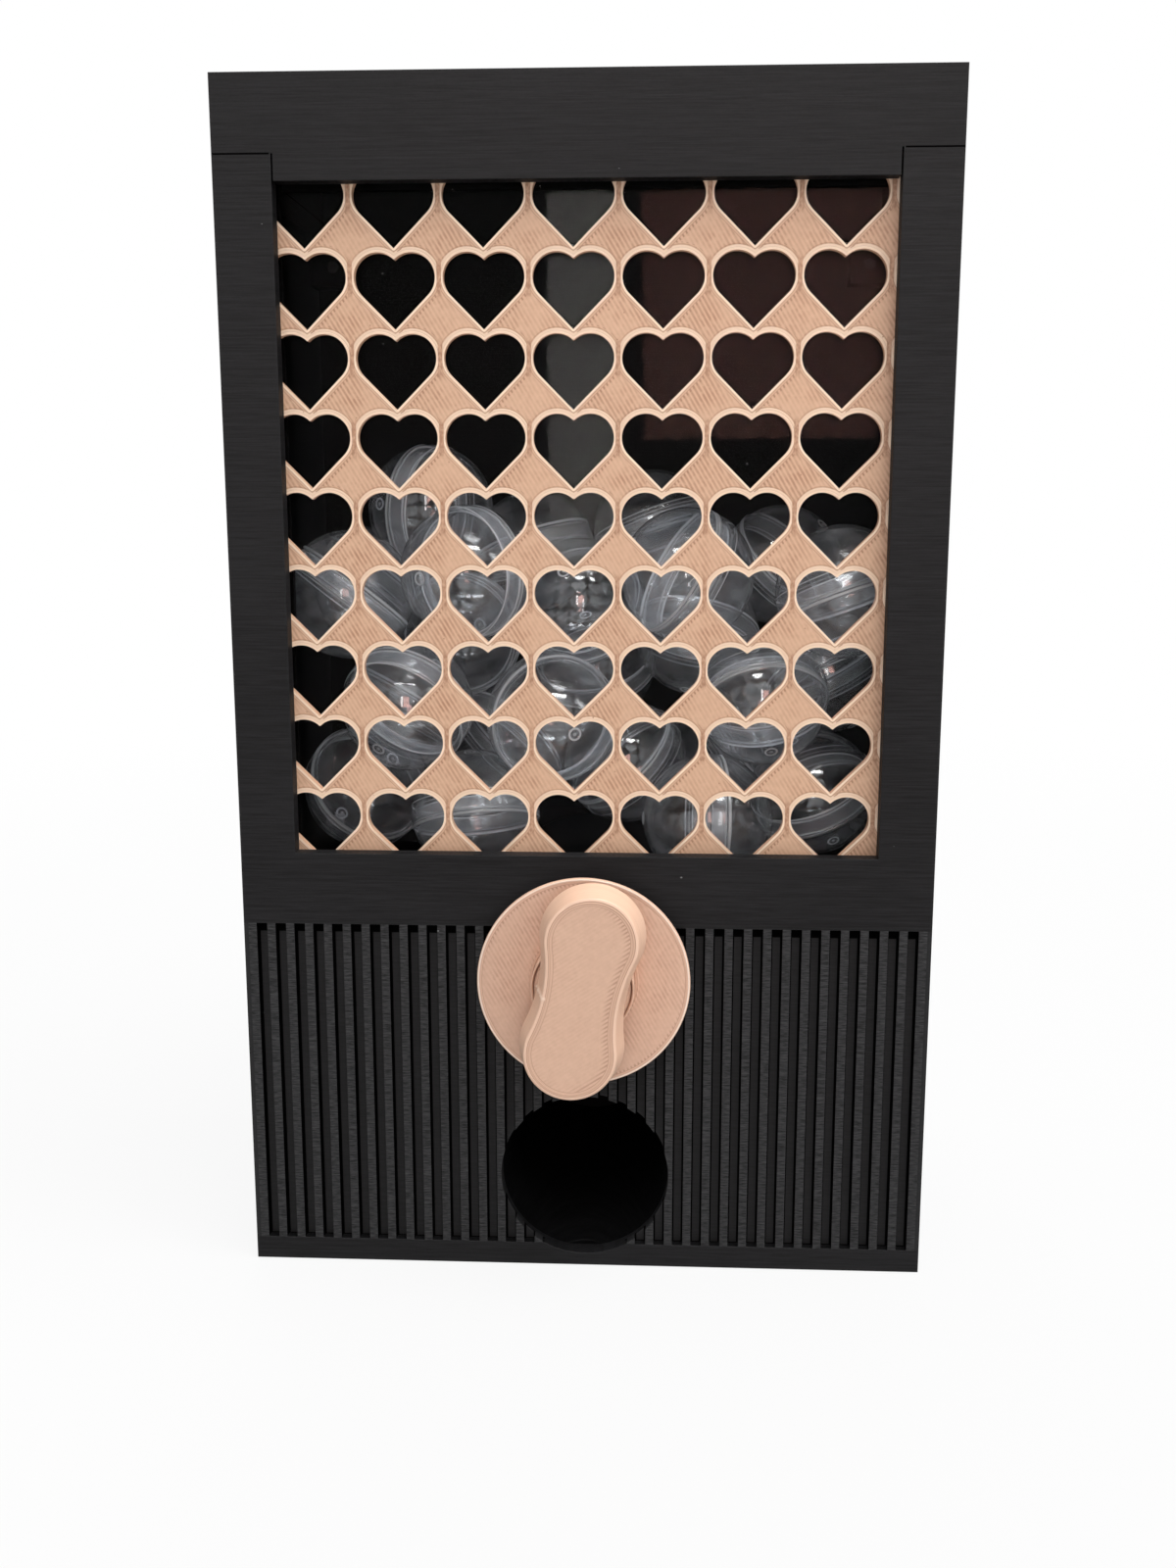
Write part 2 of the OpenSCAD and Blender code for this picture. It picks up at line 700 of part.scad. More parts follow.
// The grip's sides slope in towards its face, and its face has a small bevel
module grip_body() {
    levels = [[0, 0], [grip_h - grip_bevel, grip_draft], [grip_h, grip_draft + grip_bevel]];
    n = len(grip_outline(0));
    top = len(levels) - 1;
    points = [for (level = levels, p = grip_outline(level[1])) [p.x, p.y, level[0]]];
    sides = [for (k = [0:top - 1], i = [0:n - 1])
        [k*n + i, (k + 1)*n + i, (k + 1)*n + (i + 1)%n, k*n + (i + 1)%n]];
    polyhedron(points, concat([[for (i = [0:n - 1]) i]], sides, [[for (i = [0:n - 1]) top*n + n - 1 - i]]));
}

module knob_grip() {
    color(rose) turning() difference() {
        union() {
            translate([0, grip_y, 0]) to_front() grip_body();
            round_y(min(waist, boss_r) - past, grip_y - past, disc_y + disc_t);
            round_y(boss_r, grip_y + boss_slit, disc_y + disc_t);
        }
        translate([0, disc_y + disc_t + past, 0]) to_front() translate([-socket/2, -socket/2, 0])
            cube([socket, socket, disc_t + boss_show + square_in + past]);
    }
}

// Square ends drive the grip and the rotor, and the round part runs in the front bush
module drive_shaft() {
    square_y = disc_y + disc_t;
    color(steel) turning() difference() {
        union() {
            round_y(shaft_r, square_y, rotor_y);
            block([-shaft_sq/2, grip_y - square_in + socket_gap, -shaft_sq/2],
                [shaft_sq/2, square_y + eps, shaft_sq/2]);
            block([-shaft_sq/2, rotor_y - eps, -shaft_sq/2],
                [shaft_sq/2, rotor_y + square_in - socket_gap, shaft_sq/2]);
        }
        round_y(hole_r, screw_face_y - shaft_screw - hole_past, rotor_y + square_in + past);
    }
}

// The screw goes in from the pocket and draws the rotor onto the shaft
screw_face_y = pocket_y - pocket_r - 0.2;

module rotor_screw() {
    color(steel) turning() translate([0, screw_face_y, 0]) to_back() flat_screw(shaft_screw);
}

module thrust_washer() {
    color(steel) turning() difference() {
        round_y(flange_r, rotor_y - washer_t, rotor_y - 0.02);
        round_y(shaft_r + 0.1, rotor_y - washer_t - past, rotor_y + past);
    }
}

// At rest the pocket faces down, just after it has dropped a capsule
module dispensing_rotor() {
    color(black) turning(180) difference() {
        union() {
            round_y(rotor_r, rotor_y, rotor_end);
            round_y(shaft_r, rotor_end - eps, plate_y + rear_bush_len);
        }
        translate([0, pocket_y, rotor_r - pocket_deep]) cylinder(r = pocket_r, h = 2*rotor_r);
        block([-socket/2, rotor_y - past, -socket/2], [socket/2, rotor_y + square_in, socket/2]);
        translate([0, screw_face_y, 0]) to_back() flat_hole(screw_face_y - rotor_y);
    }
}

cabinet_shell();
lid();
rear_cover();
rear_cover_screws();
heart_grille();
window_pane();
hopper_floor();
hopper_screws();
rotor_housing();
housing_screws();
housing_end_plate();
end_plate_screws();
front_bush();
rear_bush();
outlet_chute();
chute_screws();
capsule_caps();
capsule_bowls();
knob_disc();
knob_grip();
drive_shaft();
rotor_screw();
thrust_washer();
dispensing_rotor();
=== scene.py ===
"""Looks of a capsule vending machine made of printed parts.

Metres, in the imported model's frame: X to the right, Y to the back, Z up. Sizes are written in
millimetres and turned into metres by MM. The cabinet is printed upright, so its layers lie level.
The rose gold parts are printed face up, so their layers run round their sides, and their faces
show the outline's beads and the filling's slanting lines.
"""

from math import atan, pi, radians, sqrt

import bpy
import numpy as np
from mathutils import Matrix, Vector


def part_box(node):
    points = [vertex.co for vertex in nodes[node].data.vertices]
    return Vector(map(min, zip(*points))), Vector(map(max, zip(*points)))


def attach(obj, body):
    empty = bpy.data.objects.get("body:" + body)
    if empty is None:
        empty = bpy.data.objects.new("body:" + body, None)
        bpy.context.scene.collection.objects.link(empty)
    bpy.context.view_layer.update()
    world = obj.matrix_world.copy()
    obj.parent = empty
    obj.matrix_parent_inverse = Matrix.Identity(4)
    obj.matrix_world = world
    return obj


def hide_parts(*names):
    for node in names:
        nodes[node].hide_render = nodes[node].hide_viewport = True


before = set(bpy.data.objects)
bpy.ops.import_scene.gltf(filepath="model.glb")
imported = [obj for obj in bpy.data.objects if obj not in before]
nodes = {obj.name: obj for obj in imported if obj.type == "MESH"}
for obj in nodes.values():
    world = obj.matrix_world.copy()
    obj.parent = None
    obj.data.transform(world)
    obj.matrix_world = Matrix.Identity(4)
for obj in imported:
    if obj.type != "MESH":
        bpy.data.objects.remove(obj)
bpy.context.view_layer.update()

MM = 0.001

# Cabinet, from the frame's nodes and the construction's sizes, in millimetres
body_low, body_high = (np.array(corner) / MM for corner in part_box("cabinet_shell"))
_, lid_high = (np.array(corner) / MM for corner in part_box("lid"))
_, grille_high = (np.array(corner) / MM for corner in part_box("heart_grille"))
disc_low, disc_high = (np.array(corner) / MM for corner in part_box("knob_disc"))
grip_low, _ = (np.array(corner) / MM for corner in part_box("knob_grip"))
FACE_Y = body_low[1]
WALL = 3.0
LID_TOP = 3.0
GRILLE_LAP = 6.8  # how far the grille reaches behind each stile
TONGUE_DROP = 5.6  # how far the lid's tongue reaches down between the stiles
WIN_X = grille_high[0] - GRILLE_LAP
WIN_TOP = body_high[2] - TONGUE_DROP
FLUTES = 35
FLUTE_W = 2.5
FLUTE_MARGIN = 3
FLUTE_STEP = (body_high[0] - body_low[0] - 2 * FLUTE_MARGIN - FLUTE_W) / (FLUTES - 1)
FLUTE_X = body_low[0] + FLUTE_MARGIN + FLUTE_W / 2
FLUTE_Z = (5.5, 84.6)
BEAD = 0.5  # width of one printed bead

# Hearts: a square on its corner, tip down, with a half circle on each upper side
HEART_W = 17.9
HEART_SIDE = HEART_W / (1 + sqrt(1 / 2))
HEART_H = HEART_SIDE * (1 / 2 + 3 * sqrt(2) / 4)
HEART_STEP = (HEART_W + 1.72, HEART_H + 0.8)
HEART_HIDDEN = (3.17, 3.0)  # how much of the first column and the top row is covered

# Knob
AXIS_Z = (disc_low[2] + disc_high[2]) / 2
DISC_R = (disc_high[0] - disc_low[0]) / 2
DISC_RIM = 1.4
DISC_IN = 4.5
BOSS_R = 11.8
BOSS_SHOW = 5.3
BOSS_SLIT = 0.2
KNOB_TURN = 10.5
GRIP_Y = disc_low[1] - BOSS_SHOW
GRIP_H = GRIP_Y - grip_low[1]
LOBE_R = 12.1
LOBE_OFF = 13.2
WAIST = 10.2
GRIP_DRAFT = 1.5
GRIP_BEVEL = 0.5
DISC_LEAN = -61  # how far the lines of the filling lean from X, in degrees
GRIP_LEAN = 33
SEAM_HEIGHT = -1.0  # where up the grip's left flank its layers start
SEAM_WIDTH = 0.45

# Capsules
CAPSULE_R = 16.0
CAPSULE_WALL = 0.8
SKIRT = 2.0

# Tones of the black print
GROOVE_TONE = (0.024, 0.024, 0.025, 1)
RIB_TONES = ((0.006, 0.006, 0.0065), (0.058, 0.058, 0.06))
# Sharp edges: partly wear, partly a painted highlight
EDGE_WEAR_AND_HIGHLIGHT = (0.045, 0.045, 0.047, 1)
SPECK_TONE = (0.3, 0.3, 0.3, 1)
# The black that painted shade and the lid's dark joint turn to
UNLIT_TONE = (0.0008, 0.0008, 0.0008, 1)
SHADE_AND_JOINT_UNLIT = 0.96  # how far painted shade and the lid's dark joint turn to the unlit black
INSIDE_PAINTED_SHADE = 0.72  # how strong the painted shade on the cabinet's inside is

# Share of the light that a clear sheet mirrors straight on
PANE_MIRROR = 0.0018
CAPSULE_MIRROR = 0.04

# The room's light from its sides and from above
WORLD_LOW, WORLD_HIGH = 0.16, 0.72

# Camera, in metres and degrees
CAMERA_LENS = 35.06
CAMERA_PLACE = (0.0172, -0.387, 0.1824)
CAMERA_DOWN = 10.58
CAMERA_TURN = 2.74


def photo_camera():
    """The camera stands a little to the right of the middle, and looks down on the front."""
    data = bpy.data.cameras.new("photo_camera")
    data.lens = CAMERA_LENS
    data.sensor_width = 36
    camera = bpy.data.objects.new("photo_camera", data)
    camera.location = CAMERA_PLACE
    camera.rotation_euler = (radians(90 - CAMERA_DOWN), 0, radians(CAMERA_TURN))
    bpy.context.scene.collection.objects.link(camera)
    bpy.context.scene.camera = camera


photo_camera()


class Shader:
    """The node tree of one new material or world, with short ways to add nodes to it."""

    def __init__(self, owner):
        owner.use_nodes = True
        self.owner = owner
        self.tree = owner.node_tree
        self.tree.nodes.clear()

    def add(self, kind, inputs=None, **settings):
        """Adds a node. Each input is a number, a colour, or another node's output."""
        node = self.tree.nodes.new("ShaderNode" + kind)
        for key, value in settings.items():
            setattr(node, key, value)
        for key, value in (inputs or {}).items():
            if isinstance(value, bpy.types.NodeSocket):
                self.tree.links.new(value, node.inputs[key])
            else:
                node.inputs[key].default_value = value
        return node

    def math(self, operation, *values, clamp=False):
        inputs = dict(enumerate(values))
        return self.add("Math", inputs, operation=operation, use_clamp=clamp).outputs[0]

    def colour(self, share, first, second):
        """The first colour where the share is 0, and the second where it is 1."""
        node = self.add("Mix", {0: share, 6: first, 7: second}, data_type="RGBA")
        return node.outputs[2]

    def between(self, value, low, high, out_low=0.0, out_high=1.0):
        """Smoothly from out_low at the low value to out_high at the high one."""
        inputs = {0: value, 1: low, 2: high, 3: out_low, 4: out_high}
        node = self.add("MapRange", inputs, interpolation_type="SMOOTHSTEP")
        return node.outputs[0]

    def place(self):
        """Where a point is on the object, in metres."""
        return self.add("TexCoord").outputs["Object"]

    def cells(self, size, turn=(0, 0, 0)):
        """The place counted in cells of this size in millimetres, turned by degrees."""
        inputs = {
            "Vector": self.place(),
            "Rotation": [radians(v) for v in turn],
            "Scale": [v * MM for v in size],
        }
        return self.add("Mapping", inputs, vector_type="TEXTURE").outputs[0]

    def axes(self, vector):
        return self.add("SeparateXYZ", {0: vector}).outputs

    def noise(self, size, detail=2.0, rough=0.5):
        """Noise from 0 to 1, with its grains of this size in millimetres."""
        inputs = {"Vector": self.cells(size), "Scale": 1.0, "Detail": detail, "Roughness": rough}
        return self.add("TexNoise", inputs).outputs[0]

    def specks(self, size, share, radius):
        """Small round specks, 1 inside: a share of the cells of this size has one."""
        inputs = {"Vector": self.cells(size), "Scale": 1.0, "Randomness": 1.0}
        node = self.add("TexVoronoi", inputs)
        near = self.between(node.outputs["Distance"], radius * 0.6, radius, 1, 0)
        chosen = self.axes(node.outputs["Color"])[0]
        return self.math("MULTIPLY", near, self.math("LESS_THAN", chosen, share))

    def facing(self, axis):
        """How far the true surface faces along an axis, from 0 to 1."""
        normal = self.axes(self.add("NewGeometry").outputs["True Normal"])
        return self.math("ABSOLUTE", normal[axis])

    def bump(self, height, depth, normal=None):
        """Bends the shading by a height from 0 to 1, of this depth in millimetres."""
        inputs = {"Height": height, "Distance": depth * MM, "Strength": 1.0}
        if normal is not None:
            inputs["Normal"] = normal
        return self.add("Bump", inputs).outputs[0]

    def round_edges(self, radius):
        inputs = {"Radius": radius * MM}
        return self.add("Bevel", inputs, samples=4).outputs[0]

    def edges(self, radius):
        """1 along the part's sharp edges, within about this radius, and 0 elsewhere."""
        true = self.add("NewGeometry").outputs["Normal"]
        inputs = {0: self.round_edges(radius), 1: true}
        dot = self.add("VectorMath", inputs, operation="DOT_PRODUCT").outputs["Value"]
        return self.between(dot, 0.86, 0.999, 1, 0)

    def finish(self, shader):
        kind = "OutputWorld" if isinstance(self.owner, bpy.types.World) else "OutputMaterial"
        self.add(kind, {"Surface": shader.outputs[0]})
        return self.owner


def new_material(name):
    return Shader(bpy.data.materials.new(name))


def ramp(s, value, first, second):
    return s.colour(value, (*first, 1), (*second, 1))


def count_across(s, pitch, lean, normal_axis):
    """Counts printed lines across their run: lines of this pitch in millimetres, which lean by
    this angle from X in the plane across the axis, and which waver a little."""
    turn = {1: (0, -lean, 0), 2: (0, 0, lean)}[normal_axis]
    across = s.axes(s.cells((pitch, pitch, pitch), turn))[3 - normal_axis]
    waver = 0.25
    return s.math("MULTIPLY_ADD", s.noise((7, 7, 7), detail=1.0), waver, across)


def ridges(s, count):
    """Height (1 + cos(2 pi t)) / 2, where t counts lines."""
    return s.math("MULTIPLY_ADD", s.math("COSINE", s.math("MULTIPLY", count, 2 * pi)), 0.5, 0.5)


def band(s, value, low, high, soft):
    """1 between two values, with soft ends."""
    return s.math("MULTIPLY", s.between(value, low - soft, low + soft),
                  s.between(value, high - soft, high + soft, 1, 0))


def hypot(s, a, b):
    return s.math("SQRT", s.math("MULTIPLY_ADD", a, a, s.math("MULTIPLY", b, b)))


def black_print(name, low, high):
    """Matte black filament, printed upright, between a low and a high grey. Walls have uneven
    level layer streaks, level faces have slanting lines, and the ribs are paler with a level
    ripple. Sharp edges are lighter, partly worn and partly a painted highlight. Painted shade
    turns the grooves' sides, their floor's edges, their tops and feet and the cabinet's inside
    towards an unlit black, and the lid's joint is a dark line of that black."""
    s = new_material(name)
    x, y, z = (s.math("DIVIDE", v, MM) for v in s.axes(s.place()))
    streak = s.noise((38, 38, 0.75), detail=4, rough=0.75)
    fine = s.noise((9, 9, 0.34), detail=2, rough=0.6)
    cloud = s.noise((45, 45, 30), detail=2)
    grain = s.noise((0.7, 0.7, 0.35), detail=2)

    level = s.between(s.facing(2), 0.8, 0.95)
    filling = ridges(s, count_across(s, pitch=0.9, lean=45, normal_axis=2))
    layers = s.math("MULTIPLY_ADD", streak, 0.7, s.math("MULTIPLY", fine, 0.6))
    height = s.colour(level, layers, filling)

    front = s.between(y, FACE_Y + 2.3, FACE_Y + 2.6, 1, 0)
    fluted = s.math("MULTIPLY", band(s, z, FLUTE_Z[0], FLUTE_Z[1], 0.05), front)
    from_first = s.math("SUBTRACT", x, FLUTE_X)
    from_groove = s.math("WRAP", from_first, FLUTE_STEP / 2, -FLUTE_STEP / 2)
    from_groove = s.math("ABSOLUTE", from_groove)
    on_rib = s.between(from_groove, FLUTE_W / 2 - 0.05, FLUTE_W / 2 + 0.05)
    ribs = s.math("MULTIPLY", on_rib, fluted)
    ribs = s.math("MULTIPLY", ribs, s.between(y, FACE_Y + 0.5, FACE_Y + 0.6, 1, 0))
    ripple = s.noise((3, 3, 0.34), detail=3, rough=0.65)
    height = s.math("MULTIPLY_ADD", s.math("MULTIPLY", ripple, ribs), 1.5, height)

    tone = s.math("MULTIPLY_ADD", streak, 0.8, s.math("MULTIPLY", fine, 0.75))
    tone = s.math("MULTIPLY_ADD", cloud, 0.35, tone)
    tone = s.between(tone, 0.67, 1.23)
    base = ramp(s, tone, (low, low, low * 1.12), (high, high * 0.99, high * 1.08))
    base = s.colour(s.math("MULTIPLY", fluted, 0.42), base, GROOVE_TONE)
    paler = ramp(s, s.between(ripple, 0.3, 0.78), *RIB_TONES)
    base = s.colour(s.math("MULTIPLY", ribs, 0.9), base, paler)
    # Sharp edges are lighter: partly wear, partly a painted highlight
    base = s.colour(s.math("MULTIPLY", s.edges(0.3), 0.3), base, EDGE_WEAR_AND_HIGHLIGHT)
    speck = s.math("MULTIPLY", s.specks((7, 7, 5), 0.2, 0.045), 0.55)
    base = s.colour(speck, base, SPECK_TONE)
    # Painted shade on the grooves' side walls and on a strip of the groove floor beside each
    side = s.math("MULTIPLY", s.facing(0), s.math("GREATER_THAN", y, FACE_Y + 0.03))
    painted_shade_and_joint = s.math("MAXIMUM", side, s.between(from_groove, FLUTE_W / 2 - 0.42, FLUTE_W / 2 - 0.3))
    painted_shade_and_joint = s.math("MULTIPLY", painted_shade_and_joint, s.math("LESS_THAN", from_groove, FLUTE_W / 2 + 0.06))
    # Painted shadow at the grooves' tops under the rail, and painted shade at their feet
    painted_shade_and_joint = s.math("MAXIMUM", painted_shade_and_joint, band(s, z, FLUTE_Z[1] - 2.4, FLUTE_Z[1] + 1, 0.1))
    painted_shade_and_joint = s.math("MAXIMUM", painted_shade_and_joint, band(s, z, FLUTE_Z[0] - 1, FLUTE_Z[0] + 0.3, 0.05))
    painted_shade_and_joint = s.math("MULTIPLY", painted_shade_and_joint, fluted)
    painted_shade_and_joint = s.math("MULTIPLY", painted_shade_and_joint, s.between(y, FACE_Y + 0.03, FACE_Y + 0.1))
    # The lid's joint beside the window: a dark line
    beside = s.math("GREATER_THAN", s.math("ABSOLUTE", x), WIN_X + 0.3)
    joint = s.math("MULTIPLY", band(s, z, body_high[2] - 0.22, body_high[2] + 0.16, 0.05), beside)
    painted_shade_and_joint = s.math("MAXIMUM", painted_shade_and_joint, joint)
    # Painted shade on the cabinet's inside
    inside = s.math("LESS_THAN", s.math("ABSOLUTE", x), body_high[0] - WALL + 0.05)
    inside = s.math("MULTIPLY", inside, band(s, y, FACE_Y + 4.6, body_high[1] - 0.5, 0.1))
    inside = s.math("MULTIPLY", inside, band(s, z, 2.0, lid_high[2] - LID_TOP / 2, 0.1))
    painted_shade_and_joint = s.math("MAXIMUM", painted_shade_and_joint, s.math("MULTIPLY", inside, INSIDE_PAINTED_SHADE))

    normal = s.bump(height, 0.03, s.round_edges(0.3))
    inputs = {"Base Color": base, "Normal": normal, "Specular IOR Level": 0.14}
    inputs["Roughness"] = s.between(grain, 0.2, 0.8, 0.5, 0.64)
    lit = s.add("BsdfPrincipled", inputs)
    unlit = s.add("BsdfDiffuse", {"Color": UNLIT_TONE})
    # Share of painted shade, and of the lid's dark joint, that turns to the unlit black
    share = s.math("MULTIPLY", painted_shade_and_joint, SHADE_AND_JOINT_UNLIT)
    return s.finish(s.add("MixShader", {0: share, 1: lit.outputs[0], 2: unlit.outputs[0]}))


def rose_plastic(s, tone, height, rim, depth, dark, light, shine):
    """Silky rose gold filament: the dark colour where the tone is 0, the light one at 1, and the
    shine's colour, a painted sheen, on the rim beads, which lie smooth and face the light."""
    # The rim beads take the shine's colour: a painted sheen
    base = s.colour(rim, ramp(s, tone, dark, light), (*shine, 1))
    inputs = {"Base Color": base, "Normal": s.bump(height, depth)}
    inputs["Roughness"] = 0.42
    inputs["Specular IOR Level"] = 0.4
    return s.finish(s.add("BsdfPrincipled", inputs))


def side_layers(s):
    """Layer lines of parts printed face up: level along Y."""
    return s.noise((26, 0.3, 26), detail=3, rough=0.65)


def printed_face(s, edge, count, ends, strength, beads=2):
    """Tone, height and rim bead of a printed face, from the distance to its outline in
    millimetres. A bright bead at the outline, which is a painted sheen, plain beads beside it with
    painted shade in the creases between them, then the filling's lines with dark ends."""
    last = beads * BEAD
    first = s.between(edge, 0.4, 0.6, 1, 0)
    second = band(s, edge, 0.6, last + 0.05, 0.06)
    filled = s.between(edge, last + 0.08, last + 0.2)
    line = ridges(s, count)
    cloud = s.between(s.noise((9, 9, 9), detail=2), 0.35, 0.65, 0.25, 1.0)
    cloud = s.math("MULTIPLY", cloud, s.between(edge, 1.5, 9, 0.6, 1.3))
    broken = s.between(s.noise((1.5, 1.5, 1.5), detail=2), 0.35, 0.55, 0.5, 1.0)
    stroke = s.math("MULTIPLY", line, strength)
    stroke = s.math("MULTIPLY", stroke, s.math("MULTIPLY", cloud, broken))
    turn = s.math("MULTIPLY", s.between(line, 0.55, 0.85), ends)
    turn = s.math("MULTIPLY", turn, s.between(edge, last + 0.55, last + 0.8, 1, 0))
    fill = s.math("SUBTRACT", s.math("SUBTRACT", 0.68, stroke), s.math("MULTIPLY", turn, 0.9))
    blotch = s.noise((1.2, 1.2, 1.2), detail=3)
    fill = s.math("MULTIPLY_ADD", s.math("SUBTRACT", blotch, 0.5), 0.35, fill)
    tone = s.math("MULTIPLY", fill, filled)
    # The outline's bead is lighter: a painted sheen
    tone = s.math("MULTIPLY_ADD", first, 1.0, tone)
    tone = s.math("MULTIPLY_ADD", second, 0.62, tone)
    # Painted shade in the crease between the first and second bead
    tone = s.math("MULTIPLY_ADD", band(s, edge, 0.52, 0.62, 0.05), -0.25, tone)
    # Painted shade in the creases between the further beads
    for joint in range(2, beads):
        crease_shade = band(s, edge, joint * BEAD - 0.05, joint * BEAD + 0.1, 0.06)
        tone = s.math("MULTIPLY_ADD", crease_shade, -0.3, tone)
    rims = s.math("MAXIMUM", first, second)
    height = s.math("MAXIMUM", rims, s.math("MULTIPLY", s.math("SUBTRACT", 0.8, stroke), filled))
    return tone, height, first


def heart_distance(s):
    """Distance from a point of the grille to the nearest heart's outline, in millimetres, the
    point's place from the tip of the heart in its cell of the pattern, and its distance to the
    crown of the nearest lobe under it. On a straight side the distance is (|x| - z) / sqrt(2),
    round a lobe it is the distance to its centre less its radius, and under a tip it is the
    distance to the tip."""
    quarter = HEART_SIDE * sqrt(2) / 4
    x, _, z = (s.math("DIVIDE", v, MM) for v in s.axes(s.place()))
    first_x = HEART_W / 2 - WIN_X - HEART_HIDDEN[0]
    first_z = WIN_TOP + HEART_HIDDEN[1] - HEART_H
    at_x = s.math("WRAP", s.math("SUBTRACT", x, first_x), HEART_STEP[0] / 2, -HEART_STEP[0] / 2)
    at_z = s.math("WRAP", s.math("SUBTRACT", z, first_z), HEART_STEP[1], 0.0)
    far_x = s.math("ABSOLUTE", at_x)

    def lobe(height):
        up = s.math("SUBTRACT", height, 3 * quarter)
        reach = hypot(s, s.math("SUBTRACT", far_x, quarter), up)
        return s.math("SUBTRACT", reach, HEART_SIDE / 2)

    def side(height):
        return s.math("MULTIPLY", s.math("SUBTRACT", far_x, height), sqrt(1 / 2))

    on_side = s.math("LESS_THAN", s.math("ADD", far_x, at_z), HEART_SIDE * sqrt(2))
    same = s.math("ADD", s.math("MULTIPLY", side(at_z), on_side),
                  s.math("MULTIPLY", lobe(at_z), s.math("SUBTRACT", 1.0, on_side)))
    from_above = s.math("SUBTRACT", at_z, HEART_STEP[1])
    under = s.math("LESS_THAN", s.math("ADD", far_x, from_above), 0.0)
    above = s.math("ADD", s.math("MULTIPLY", side(from_above), s.math("SUBTRACT", 1.0, under)),
                   s.math("MULTIPLY", hypot(s, far_x, from_above), under))
    below = lobe(s.math("ADD", at_z, HEART_STEP[1]))
    edge = s.math("MINIMUM", same, s.math("MINIMUM", above, below))
    low = s.between(at_z, 2.4 * quarter, 3.9 * quarter, 1.6, 0.0)
    crown = s.math("MINIMUM", s.math("ADD", s.math("ABSOLUTE", lobe(at_z)), low), below)
    return s.math("ABSOLUTE", edge), at_x, at_z, crown


def grille_print():
    """The grille's face: beads round each heart with a painted sheen, a wider painted highlight
    over the lobes with a painted shade line below it, slanting filling, a brown line down the
    narrow bridges, and a dark dash beside each tip."""
    s = new_material("rose_grille_print")
    face = s.between(s.facing(1), 0.85, 0.97)
    edge, at_x, at_z, crown = heart_distance(s)
    ends = s.math("MULTIPLY", s.math("GREATER_THAN", at_x, 0.0), s.math("GREATER_THAN", crown, 1.6))
    count = count_across(s, pitch=0.94, lean=-59, normal_axis=1)
    tone, height, rim = printed_face(s, edge, count, ends, strength=0.85)
    crown_highlight = 0.62  # share of the painted highlight on the lobes' crowns, which face up to the light
    # Painted highlight: the bright rim is wider over the lobes' crowns
    rim = s.math("MULTIPLY", rim, s.between(crown, 0.8, 1.2, crown_highlight, 1))
    rim = s.math("MAXIMUM", rim, s.between(crown, 1.0, 1.2, crown_highlight, 0))
    # Painted shade: a dark line just below the crowns
    shade = band(s, crown, 1.22, 1.4, 0.05)
    tone = s.math("SUBTRACT", tone, s.math("MULTIPLY", shade, 0.35))
    from_fold = s.math("SUBTRACT", HEART_STEP[0] / 2, s.math("ABSOLUTE", at_x))
    bridge = s.between(from_fold, 0.42, 0.62, 1, 0)
    bridge = s.math("MULTIPLY", bridge, band(s, at_z, 7.2, 14.8, 1.0))
    lumps = s.between(s.noise((0.6, 1.0, 0.9), detail=2), 0.3, 0.7, -0.1, 0.5)
    tone = s.colour(bridge, tone, lumps)
    rim = s.math("MULTIPLY", rim, s.math("SUBTRACT", 1.0, bridge))
    dash_x = s.math("SUBTRACT", at_x, 1.25)
    dash_z = s.math("SUBTRACT", at_z, HEART_STEP[1] - 0.35)
    dash_z = s.math("SUBTRACT", dash_z, s.math("MULTIPLY", dash_x, 0.6))
    dash = s.math("MULTIPLY", band(s, dash_x, -0.45, 0.45, 0.08), band(s, dash_z, -0.1, 0.1, 0.05))
    hole = s.specks((1.7, 1.7, 1.7), 0.16, 0.11)
    mark = s.math("MAXIMUM", dash, s.math("MULTIPLY", hole, s.between(edge, 0.7, 0.9)))
    tone = s.math("SUBTRACT", tone, s.math("MULTIPLY", mark, 0.9))
    layers = side_layers(s)
    rim = s.math("MULTIPLY", s.math("SUBTRACT", rim, mark, clamp=True), face)
    tone = s.colour(face, s.math("MULTIPLY_ADD", layers, 0.6, 0.2), tone)
    height = s.colour(face, layers, height)
    return rose_plastic(s, tone, height, rim, depth=0.05, dark=(0.42, 0.215, 0.125),
                        light=(0.80, 0.515, 0.345), shine=(0.95, 0.73, 0.55))


def disc_print():
    tones = knob_tones("rose_disc_print", DISC_LEAN, pitch=0.93, strength=0.36, comb=0.45,
                       reach=1.9, shine=1.0, beads=2)
    return rose_plastic(*tones, depth=0.05, dark=(0.44, 0.235, 0.155),
                        light=(0.80, 0.53, 0.39), shine=(0.93, 0.76, 0.64))


def grip_print():
    tones = knob_tones("rose_grip_print", GRIP_LEAN, pitch=0.84, strength=0.11, comb=0.5,
                       reach=3.6, shine=0.12, beads=3)
    return rose_plastic(*tones, depth=0.04, dark=(0.44, 0.235, 0.155),
                        light=(0.80, 0.53, 0.385), shine=(0.93, 0.72, 0.58))


